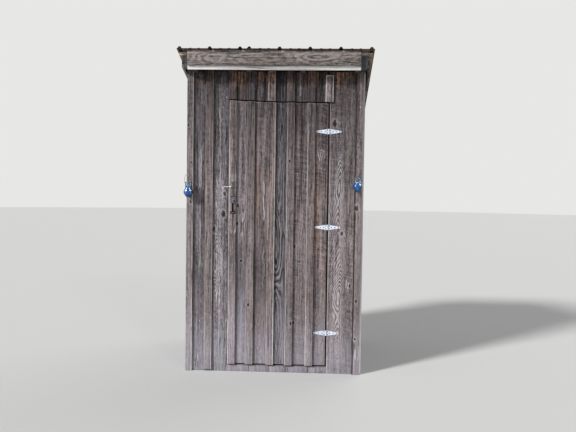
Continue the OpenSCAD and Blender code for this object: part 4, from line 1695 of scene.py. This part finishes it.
@dataclass
class RoofSheets:
    """The ribbed metal, and the screws through its ribs.

    A washer and a head are given by the radii of foot and top and the height.
    """

    rib_pitch: float = 0.2286
    edge_rib: float = 0.720
    rib_h: float = 0.015
    sheet_t: float = 0.0012
    rows: tuple[float, ...] = (-0.745, -0.25, 0.25, 0.745)
    washer: tuple[float, float, float] = (0.0075, 0.0055, 0.002)
    head: tuple[float, float, float] = (0.0042, 0.0040, 0.0038)

    def build(self) -> None:
        """Dresses the sheets and sets the screws."""
        dress(RoofMetal(), "left_roof_sheet", "right_roof_sheet")
        steel = Metal("roof_screw_steel", (0.42, 0.42, 0.42), (0.22, 0.215, 0.21))
        screws = Piece("roof_screws", "building", steel, "galvanised_steel")
        tilt = Matrix.Rotation(-LINES.slope, 4, "X")
        for x in self.ribs():
            for y in self.rows:
                base = Vector((x, y, LINES.roof(y))) + LINES.up * (self.rib_h + self.sheet_t)
                screws.add(self.screw(Matrix.Translation(base) @ tilt))
        screws.done()

    def ribs(self) -> list[float]:
        """Places of all ribs from left to right: two on the left sheet, five on the right one."""
        right = [self.edge_rib - i * self.rib_pitch for i in range(5)]
        return sorted([-self.edge_rib, -self.edge_rib + self.rib_pitch, *right])

    def screw(self, place: Matrix) -> Shape:
        """A hexagon head on a domed washer.

        Args:
            place: where it stands.

        Returns:
            The screw.
        """
        bm = bmesh.new()
        cone(bm, place, 0.0, *self.washer, 16)
        head = cone(bm, place, self.washer[2], *self.head, 6)
        edges = list({e for v in head for e in v.link_edges})
        bmesh.ops.bevel(bm, geom=edges, offset=0.0005, segments=1, profile=0.5, affect="EDGES", material=-1)
        return bm


# Floor and frame


@dataclass
class FloorAndFrame:
    """Floor boards, and the framing that keeps its CAD shape."""

    floor_z: float = 0.111
    thick: float = 0.022
    count: int = 9

    def build(self) -> None:
        """Lays the floor and dresses the timbers."""
        rng = random.Random(151)
        pitch = 2 * LINES.frame / self.count
        boards = []
        for i in range(self.count):
            y = -LINES.frame + (i + 0.5) * pitch
            start = Vector((-LINES.frame, y, self.floor_z))
            boards.append(Board(start, X_AXIS, Z_AXIS, pitch - 0.003, self.thick, 2 * LINES.frame,
                                Look.any(rng, pitch, 1.28, 0.15)))
        planks("floor_planks", FRESH_WOOD, "floor_boards", boards, 151)
        dress(Timber("upright_timber", Run.UPRIGHT), "corner_posts", "door_posts")
        dress(Timber("sideways_timber", Run.SIDEWAYS), "floor_rims", "wall_plates", "wall_girts")
        dress(Timber("front_to_back_timber", Run.FRONT_TO_BACK), "floor_joists", "rafters")
        # The door header and the eave blocks are near black: painted shade in the gap over the door and under
        # the eaves.
        dark = Timber("eave_timber", Run.SIDEWAYS, (0.010, 0.009, 0.009), (0.045, 0.042, 0.042))
        dress(dark, "door_header", "eave_blocks")
        # The sub-fascias are dark bluish grey, partly greyed end grain and partly painted shade under the
        # eave.
        grey = Timber("eave_end_timber", Run.SIDEWAYS, (0.030, 0.034, 0.038), (0.105, 0.112, 0.120))
        dress(grey, "sub_fascias")


# Door


@dataclass
class Door:
    """The batten door: five boards, five battens, three ledges and two braces."""

    joints: tuple[float, ...] = FrontWall.door_joints
    battens: tuple[float, ...] = (-0.327, *FrontWall.door_joints)
    batten_w: float = 0.058
    batten_drop: float = 0.004
    gap: float = 0.0010
    hinges: tuple[float, ...] = (0.318, 1.142, 1.880)
    ledge_h: float = 0.120
    ledge_t: float = 0.022
    ledge_x: tuple[float, float] = (-0.329, 0.380)
    brace_w: float = 0.130
    board_spare: float = 0.005
    batten_spare: float = 0.004
    brace_spare: float = 0.12

    def build(self) -> None:
        """Builds the door's boards, battens, ledges and braces."""
        self.boards()
        self.strips()
        self.back()

    @staticmethod
    def head(x: float) -> list[Cut]:
        """The door's sawn top at a place, as a plane that takes off what lies above it."""
        point, normal = FrontWall.saw_cut(0.0)[0 if x < LINES.bend else 1]
        return [(point, -normal)]

    def boards(self) -> None:
        """The five boards, each with the marks that the weather has left on it."""
        edges = (LINES.door_left, *self.joints, LINES.door_right)
        top = (0.0, 0.0, 0.8)
        looks = (
            Look(tone=0.20, rain=0.25, cool=0.25, pith=0.03, pith_depth=0.03, curl=0.10, worn=top,
                 stained=0.0, shade=(0.62, -0.55, 0.014),
                 knots=(Mark(-0.287, 1.30, 0.009), Mark(-0.289, 1.16, 0.008), Mark(-0.255, 0.87, 0.007)),
                 patches=(Mark(-0.262, 1.20, 0.16),)),
            Look(tone=0.05, warmth=0.30, pith_depth=0.02, curl=0.10, sawn=0.6, worn=top, stained=0.0,
                 shade=(0.68, -0.52, 0.014),
                 streaks=(Mark(-0.082, 1.34, 0.17), Mark(-0.078, 0.82, 0.17), Mark(-0.135, 1.42, -0.20))),
            # The third board's left edge is painted dark: painted shade beside its batten.
            Look(tone=-0.36, cool=0.8, pith=-0.012, pith_depth=0.006, pitch=0.0135, curl=0.09, wander=1.4,
                 figure=1.15, sawn=0.2, bleach=0.65, shade=(0.95, -0.06, 0.03), worn=(-0.7, 0.0, 0.8),
                 stained=0.0, patches=(Mark(0.030, 0.93, -0.36),)),
            Look(tone=-0.06, warmth=0.2, rain=-0.06, pith=0.05, pith_depth=0.06, sawn=1.3, figure=0.15,
                 worn=top, stained=0.0, shade=(1.35, 0.14, 0.014),
                 knots=(Mark(0.160, 0.988, 0.009), Mark(0.160, 0.393, 0.008), Mark(0.20, 0.87, 0.006))),
            Look(tone=-0.06, warmth=0.5, pith=-0.03, pith_depth=0.05, sawn=1.2, figure=0.12, worn=top,
                 stained=0.0, shade=(1.2, 0.14, 0.014), bleach=0.72, streaks=(Mark(0.322, 1.30, -0.36),),
                 patches=(Mark(0.356, 1.70, 0.05),)),
        )
        boards = []
        for i, (a, b, look) in enumerate(zip(edges, edges[1:], looks)):
            middle = (a + b) / 2
            a += self.gap * (i > 0)
            b -= self.gap * (i < len(self.joints))
            high = LINES.cut(middle) + self.board_spare
            boards.append(front_board(a, b, LINES.door_foot, high, Layer.DOOR, look, self.head(middle)))
        planks("door_planks", WALL_WOOD, "door_boards", boards, 161, "door")

    def strips(self) -> None:
        """The five battens, cut off at the head with the boards."""
        # The pale left edges of the battens are partly bleaching and partly a painted highlight on arrises
        # that face the key lamp.
        looks = (
            Look(tone=-0.05, rain=0.24, warmth=0.15, pith=0.04, figure=0.12, worn=(0.6, 0.0, 1.0),
                 stained=0.0, shade=(1.35, 0.42, 0.014),
                 patches=(Mark(-0.314, 1.515, 0.03), Mark(-0.314, 1.112, 0.025))),
            Look(tone=-0.11, rain=-0.14, figure=0.2, curl=0.08, worn=(0.2, 0.2, 0.7), stained=0.0,
                 knots=(Mark(-0.194, 0.527, 0.008),)),
            Look(tone=0.03, warmth=0.25, figure=0.15, worn=(0.0, 0.9, 0.7), stained=0.0),
            Look(tone=-0.14, rain=-0.10, figure=0.2, worn=(0.7, 0.1, 0.7), stained=0.0,
                 knots=(Mark(0.115, 1.65, 0.007), Mark(0.138, 0.39, 0.008))),
            Look(tone=-0.09, warmth=0.15, figure=0.12, worn=(0.6, 0.2, 0.6), stained=0.0,
                 shade=(1.75, 0.16, 0.014)),
        )
        half = self.batten_w / 2
        foot = LINES.door_foot - self.batten_drop
        strips = [
            front_board(x - half, x + half, foot, LINES.cut(x) + self.batten_spare, Layer.BATTENS, look,
                        self.head(x))
            for x, look in zip(self.battens, looks)
        ]
        planks("door_strips", TRIM_WOOD, "door_battens", strips, 171, "door")

    def back(self) -> None:
        """Ledges and braces on the back of the door."""
        left, right = self.ledge_x
        face = self.ledge_t - LINES.door_back
        ledges = [
            Board(Vector((left, face, z)), X_AXIS, Wall.BACK.out, self.ledge_h, self.ledge_t, right - left,
                  Look(tone=0.05 * i))
            for i, z in enumerate(self.hinges)
        ]
        planks("door_ledge_planks", FRESH_WOOD, "door_ledges", ledges, 181, "door")
        braces = []
        for z0, z1 in zip(self.hinges, self.hinges[1:]):
            foot = Vector((right - self.brace_w / 2, face, z0 + self.ledge_h / 2))
            head = Vector((left + self.brace_w / 2, face, z1 - self.ledge_h / 2))
            run = (head - foot).normalized()
            length = (head - foot).length + 2 * self.brace_spare
            braces.append(Board(foot - run * self.brace_spare, run, Wall.BACK.out, self.brace_w * run.z,
                                self.ledge_t, length, Look(tone=-0.04, pith=-0.02),
                                [(foot, -Z_AXIS), (head, Z_AXIS)]))
        planks("door_brace_planks", FRESH_WOOD, "door_braces", braces, 191, "door")


# Hardware


def head_shape(place: Matrix, radius: float, proud: float, sides: int = 12) -> Shape:
    """A low domed nail or screw head, its axis along the place's z.

    Args:
        place: where its foot stands.
        radius: its radius.
        proud: its height.
        sides: sides of its rim.

    Returns:
        The head.
    """
    bm = bmesh.new()
    sunk = proud * 0.5
    cone(bm, place, -sunk, radius, radius * 0.72, proud + sunk, sides)
    top = list({e for f in bm.faces if len(f.verts) == sides for e in f.edges})
    bmesh.ops.bevel(bm, geom=top, offset=proud * 0.3, segments=1, profile=0.5, affect="EDGES", material=-1)
    return bm


def screw_head(x: float, y: float, z: float, radius: float, proud: float) -> Shape:
    """The head of a screw driven straight into the front."""
    return head_shape(Matrix.Translation((x, y, z)) @ Matrix.Rotation(math.pi / 2, 4, "X"), radius, proud)


@dataclass
class Hinges:
    """Three galvanised strap hinges with dark screws."""

    pin_x: float = 0.413
    leaf_y: float = -0.669
    holes: tuple[tuple[float, float], ...] = (
        (0.0135, 0.0105), (0.0135, -0.0105), (0.030, 0.0), (0.056, 0.0), (0.083, 0.0)
    )
    screw_r: float = 0.0044
    screw_proud: float = 0.0011

    def build(self) -> None:
        """Dresses the leaves and pins, and sets the screws."""
        zinc = Metal("galvanised_steel", (0.84, 0.89, 0.99), (0.60, 0.66, 0.79), 0.02, 0.40, 0.2)
        dress(zinc, "hinge_wall_leaves", "hinge_door_leaves", "hinge_pins")
        dark = Metal("screw_steel", (0.018, 0.016, 0.016), (0.008, 0.007, 0.007), 0.1, 0.6, 0.1)
        for side, name, body in ((1, "hinge_wall_screws", "building"), (-1, "hinge_door_screws", "door")):
            screws = Piece(name, body, dark, "dark_iron")
            for z in Door.hinges:
                for dx, dz in self.holes:
                    x = self.pin_x + side * dx
                    screws.add(screw_head(x, self.leaf_y, z + dz, self.screw_r, self.screw_proud))
            screws.done()


@dataclass
class PullAndLatch:
    """The bowed pull with its screws, and the hook with its eye."""

    pull_x: float = -0.322
    pull_z: float = 1.236
    pull_l: float = 0.138
    plate_h: float = 0.050
    foot_h: float = 0.022
    screw_in: float = 0.007
    screw_side: float = 0.0145
    screw_r: float = 0.0032
    screw_proud: float = 0.0010
    front_y: float = -0.689

    def build(self) -> None:
        """Dresses the pull and the latch."""
        top = self.pull_z + self.pull_l
        foot = self.pull_z + self.foot_h / 2
        dress(PullPaint(self.pull_x, foot, top - self.plate_h, top), "pull_handle")
        zinc = Metal("latch_steel", (0.95, 0.96, 0.98), (0.72, 0.74, 0.77), 0.03, 0.40, 0.2)
        dress(zinc, "latch_hook", "latch_pivot", "latch_keeper")
        dark = Metal("pull_screw_steel", (0.10, 0.09, 0.09), (0.03, 0.03, 0.03))
        screws = Piece("pull_screws", "door", dark, "dark_iron")
        for z in (foot, top - self.plate_h + self.screw_in, top - self.screw_in):
            for side in (-1, 1):
                x = self.pull_x + side * self.screw_side
                screws.add(screw_head(x, self.front_y, z, self.screw_r, self.screw_proud))
        screws.done()


@dataclass
class Jars:
    """The two glass jars on their wire bails."""

    places: tuple[tuple[float, float, float], ...] = ((-0.664, -0.723, 1.360), (0.6395, -0.723, 1.418))
    radius: float = 0.037
    neck: float = 0.025
    height: float = 0.118
    bowl: float = 0.068
    glass: float = 0.003
    lip: float = 0.0025
    lip_h: float = 0.005

    def build(self) -> None:
        """Blows the jars and dresses their wires."""
        piece = Piece("hanging_jars", "building", Glass(), "blue_glass", ["lantern_jars"], smooth=1.0)
        for place in self.places:
            piece.add(self.jar(Vector(place)))
        self.windows(piece.done())
        wire = Metal("wire", (0.075, 0.080, 0.10), (0.035, 0.036, 0.045), gloss=0.4, shine=0.5)
        dress(wire, "lantern_hangers")

    @staticmethod
    def windows(glass: bpy.types.Object) -> None:
        """Two broad sky-coloured lamps that only the glass sees, for its glints.

        Args:
            glass: the jars.
        """
        lit = bpy.data.collections.new("glass_only")
        lit.objects.link(glass)
        for name, turn in (("left_window", (60, 0, -70)), ("right_window", (48, 0, 72))):
            lamp = Studio.lamp(name, 5.0, 36, turn)
            lamp.data.color = (0.62, 0.90, 1.0)
            lamp.visible_diffuse = False
            lamp.light_linking.receiver_collection = lit

    def profile(self) -> list[tuple[float, float]]:
        """Draws the outline of a jar.

        Returns:
            Its points as (radius, height), up the outside and down the inside.
        """
        middle = self.bowl - math.sqrt(self.radius ** 2 - self.neck ** 2)

        def arc(r: float, neck: float) -> list[tuple[float, float]]:
            """The bowl's curve from its foot to its neck."""
            turns = [-math.pi / 3 + i * (math.pi / 3 + math.acos(neck / r)) / 16 for i in range(17)]
            return [(r * math.cos(a), middle + r * math.sin(a)) for a in turns]

        outer = arc(self.radius, self.neck)
        inner = arc(self.radius - self.glass, self.neck - self.glass)
        top, lip, bore = self.height, self.neck + self.lip, self.neck - self.glass
        shoulder = top - self.lip_h
        return [
            (0.0, 0.0008), (outer[0][0] - 0.004, 0.0), (outer[0][0] - 0.0008, 0.0012), *outer[1:],
            (self.neck, self.bowl + 0.010), (self.neck, shoulder - 0.002), (lip - 0.0006, shoulder),
            (lip, shoulder + 0.001), (lip, top - 0.0012), (lip - 0.0012, top), (bore + 0.001, top),
            (bore, top - 0.0012), *reversed(inner[1:]), (inner[0][0] - 0.002, self.glass + 0.002),
            (0.0, self.glass + 0.0016),
        ]

    def jar(self, place: Vector) -> Shape:
        """Spins one jar.

        Args:
            place: middle of its bottom.

        Returns:
            The jar, with its own height written on it.
        """
        bm = bmesh.new()
        points = [bm.verts.new((r, 0, z)) for r, z in self.profile()]
        edges = [bm.edges.new(pair) for pair in zip(points, points[1:])]
        bmesh.ops.spin(bm, geom=points + edges, axis=Z_AXIS, cent=(0, 0, 0), dvec=(0, 0, 0),
                       angle=math.tau, steps=48, use_merge=True, use_duplicate=False)
        bmesh.ops.remove_doubles(bm, verts=bm.verts[:], dist=1e-5)
        bmesh.ops.recalc_face_normals(bm, faces=bm.faces[:])
        layer = bm.verts.layers.float_vector.new("jar")
        for v in bm.verts:
            v[layer] = v.co.copy()
        bmesh.ops.translate(bm, vec=place, verts=bm.verts[:])
        return bm


@dataclass
class Nails:
    """Nail heads in the boards and battens, set in rows over the timbers behind."""

    radius: float = 0.0038
    proud: float = 0.0007
    sunk: float = 0.0006
    sides: int = 10
    rows: tuple[float, ...] = (0.05, 0.62, 1.19, 1.75)
    under_top: float = 0.05
    door_rows: tuple[float, ...] = (0.318, 0.73, 1.142, 1.52, 1.880)
    front_columns: tuple[float, ...] = (-0.510, -0.664, 0.645)
    front_top: float = 2.28
    head_z: float = 2.20
    fascia_z: float = 2.40
    fascia_end: float = 0.04
    fascia_pitch: float = 0.245
    fascia_count: int = 6
    bright_wall: tuple[tuple[float, float], ...] = ((-0.487, 0.422), (0.650, 2.068))
    bright_door: tuple[tuple[float, float], ...] = ((-0.349, 0.547),)
    jar_nails: tuple[float, ...] = (1.536, 1.594)
    jar_nail_y: float = 0.731

    def build(self) -> None:
        """Drives the nails of the walls and of the door."""
        steel = Metal("nail_steel", (0.24, 0.20, 0.18), (0.08, 0.06, 0.055), 0.3, 0.5, 0.5)
        zinc = Metal("bright_nail_steel", (0.95, 0.96, 0.97), (0.80, 0.81, 0.82), 0.0, 0.45, 0.1)
        walls = Piece("wall_nails", "building", steel, "dark_iron")
        rng = random.Random(7)
        self.plain_walls(walls, rng)
        for x in self.front_columns:
            for z in (*self.rows, self.front_top):
                self.front(walls, x + rng.uniform(-0.01, 0.01), z + rng.uniform(-0.03, 0.03))
        for x in FrontWall.head_battens:
            self.front(walls, x + rng.uniform(-0.008, 0.008), self.head_z + rng.uniform(-0.02, 0.06))
        for i in range(self.fascia_count):
            x = Eaves.left + self.fascia_end + i * self.fascia_pitch
            self.front(walls, x, self.fascia_z + rng.uniform(-0.01, 0.03), LINES.eave_y)
        walls.done()
        jars = [(place[0], z, self.jar_nail_y) for place, z in zip(Jars.places, self.jar_nails)]
        for name, body, spots in (("bright_wall_nails", "building", [*self.bright_wall, *jars]),
                                  ("bright_door_nails", "door", self.bright_door)):
            bright = Piece(name, body, zinc, "galvanised_steel")
            for spot in spots:
                self.front(bright, *spot)
            bright.done()
        door = Piece("door_nails", "door", steel, "dark_iron")
        for x in Door.battens:
            for z in self.door_rows:
                self.front(door, x + rng.uniform(-0.008, 0.008), z + rng.uniform(-0.04, 0.04))
        door.done()

    def plain_walls(self, piece: Piece, rng: random.Random) -> None:
        """Drives rows of nails into the battens of the sides and the back.

        Args:
            piece: the nails they join.
            rng: seeded source of chance.
        """
        pitch = 2 * LINES.face / PlainWall.count
        for wall in (Wall.LEFT, Wall.RIGHT, Wall.BACK):
            for i in range(1, PlainWall.count):
                along = i * pitch - LINES.face
                if wall is Wall.BACK:
                    top = LINES.under_rafter(LINES.half)
                else:
                    top = LINES.under_sheathing((wall.sideways * along).y) - CornerTrim.frieze
                for z in (*self.rows, top - self.under_top):
                    spot = wall.out * LINES.half + wall.sideways * (along + rng.uniform(-0.006, 0.006))
                    self.drive(piece, spot + Z_AXIS * (z + rng.uniform(-0.012, 0.012)), wall)

    def front(self, piece: Piece, x: float, z: float, face: float = LINES.half) -> None:
        """Sets one nail head on the front, at a distance of its face from the middle."""
        self.drive(piece, Vector((x, -face, z)), Wall.FRONT)

    def drive(self, piece: Piece, spot: Vector, wall: Wall) -> None:
        """Sets one nail head.

        Args:
            piece: the nails it joins.
            spot: where it stands.
            wall: the wall that it looks out of.
        """
        turn = wall.out.to_track_quat("Z", "Y").to_matrix().to_4x4()
        place = Matrix.Translation(spot - wall.out * self.sunk) @ turn
        piece.add(head_shape(place, self.radius, self.proud, self.sides))


# Studio


@dataclass
class Studio:
    """Pale floor, soft light and the photograph's camera."""

    eye: tuple[float, float, float] = (0.38386, -6.23840, 1.45338)
    yaw: float = 0.0498305
    pitch: float = -0.0408637
    roll: float = -0.0140037
    lens: float = 45.0
    sensor: float = 36.0
    paper: Colour = (0.80, 0.80, 0.79)
    floor_r: float = 40.0

    def build(self) -> None:
        """Sets the floor, the lamps, the world and the camera."""
        self.floor()
        for lamp in (("key", 3.1, 9, (60, 0, -47)), ("spark", 0.2, 8, (66, 0, 28)),
                     ("fill", 0.8, 60, (60, 0, 150))):
            self.lamp(*lamp)
        self.world()
        self.camera()
        bpy.context.scene.view_settings.view_transform = "Standard"

    def floor(self) -> None:
        """A pale floor all round."""
        b = Paint("floor_paper")
        sheet = tuple(c * 0.92 for c in self.paper)
        specked = b.blend(b.noise(40).fade(0.3, 0.7), sheet, tuple(c * 0.985 for c in sheet))
        b.set(base_color=specked, roughness=0.9, specular_ior_level=0.1)
        bm = bmesh.new()
        bmesh.ops.create_circle(bm, cap_ends=True, segments=96, radius=self.floor_r)
        mesh = bpy.data.meshes.new("studio_floor")
        bm.to_mesh(mesh)
        bm.free()
        mesh.materials.append(b.owner)
        floor = bpy.data.objects.new("studio_floor", mesh)
        bpy.context.scene.collection.objects.link(floor)

    @staticmethod
    def lamp(name: str, strength: float, spread: float, turn: tuple[float, float, float]) -> bpy.types.Object:
        """Hangs a broad distant lamp.

        Args:
            name: its name.
            strength: its strength.
            spread: its apparent size in degrees.
            turn: its rotation in degrees.

        Returns:
            The lamp.
        """
        light = bpy.data.lights.new(name, "SUN")
        light.energy = strength
        light.angle = math.radians(spread)
        lamp = bpy.data.objects.new(name, light)
        lamp.rotation_euler = [math.radians(t) for t in turn]
        bpy.context.scene.collection.objects.link(lamp)
        return lamp

    def world(self) -> None:
        """Even light from all round; the camera, gloss and glass see a pale ground."""
        b = Bench(bpy.data.worlds.new("studio"))
        rays = b.node("LightPath").outputs
        seen = b.sum("MAXIMUM", rays["Is Camera Ray"], rays["Is Glossy Ray"])
        seen = seen.do("MAXIMUM", rays["Is Transmission Ray"])
        soft = b.node("Background", (0.98, 0.99, 1.0), 0.25)
        ground = b.node("Background", self.paper, 1.0)
        b.node("OutputWorld", b.node("MixShader", seen, soft.outputs[0], ground.outputs[0]).outputs[0])
        bpy.context.scene.world = b.owner

    def camera(self) -> None:
        """Places the camera where the photograph was taken."""
        data = bpy.data.cameras.new("camera")
        data.lens = self.lens
        data.sensor_width = self.sensor
        data.dof.use_dof = False
        camera = bpy.data.objects.new("camera", data)
        turn = (
            Matrix.Rotation(self.yaw, 4, "Z") @ Matrix.Rotation(self.pitch, 4, "X")
            @ Matrix.Rotation(self.roll, 4, "Y") @ Matrix.Rotation(math.pi / 2, 4, "X")
        )
        camera.matrix_world = Matrix.Translation(self.eye) @ turn
        bpy.context.scene.collection.objects.link(camera)
        bpy.context.scene.camera = camera


def main() -> None:
    """Builds every sub-assembly in order."""
    logging.basicConfig(level=logging.INFO, format="%(message)s")
    parts: Sequence[object] = (
        Studio(),
        FloorAndFrame(),
        FrontWall(),
        PlainWall(Wall.LEFT, "left", 200),
        PlainWall(Wall.RIGHT, "right", 300),
        PlainWall(Wall.BACK, "back", 400),
        CornerTrim(),
        Eaves(),
        RoofSheets(),
        Door(),
        Hinges(),
        PullAndLatch(),
        Jars(),
        Nails(),
    )
    for part in parts:
        part.build()
        LOG.info("%s built", type(part).__name__)
    bpy.context.view_layer.update()


if __name__ == "__main__":
    main()
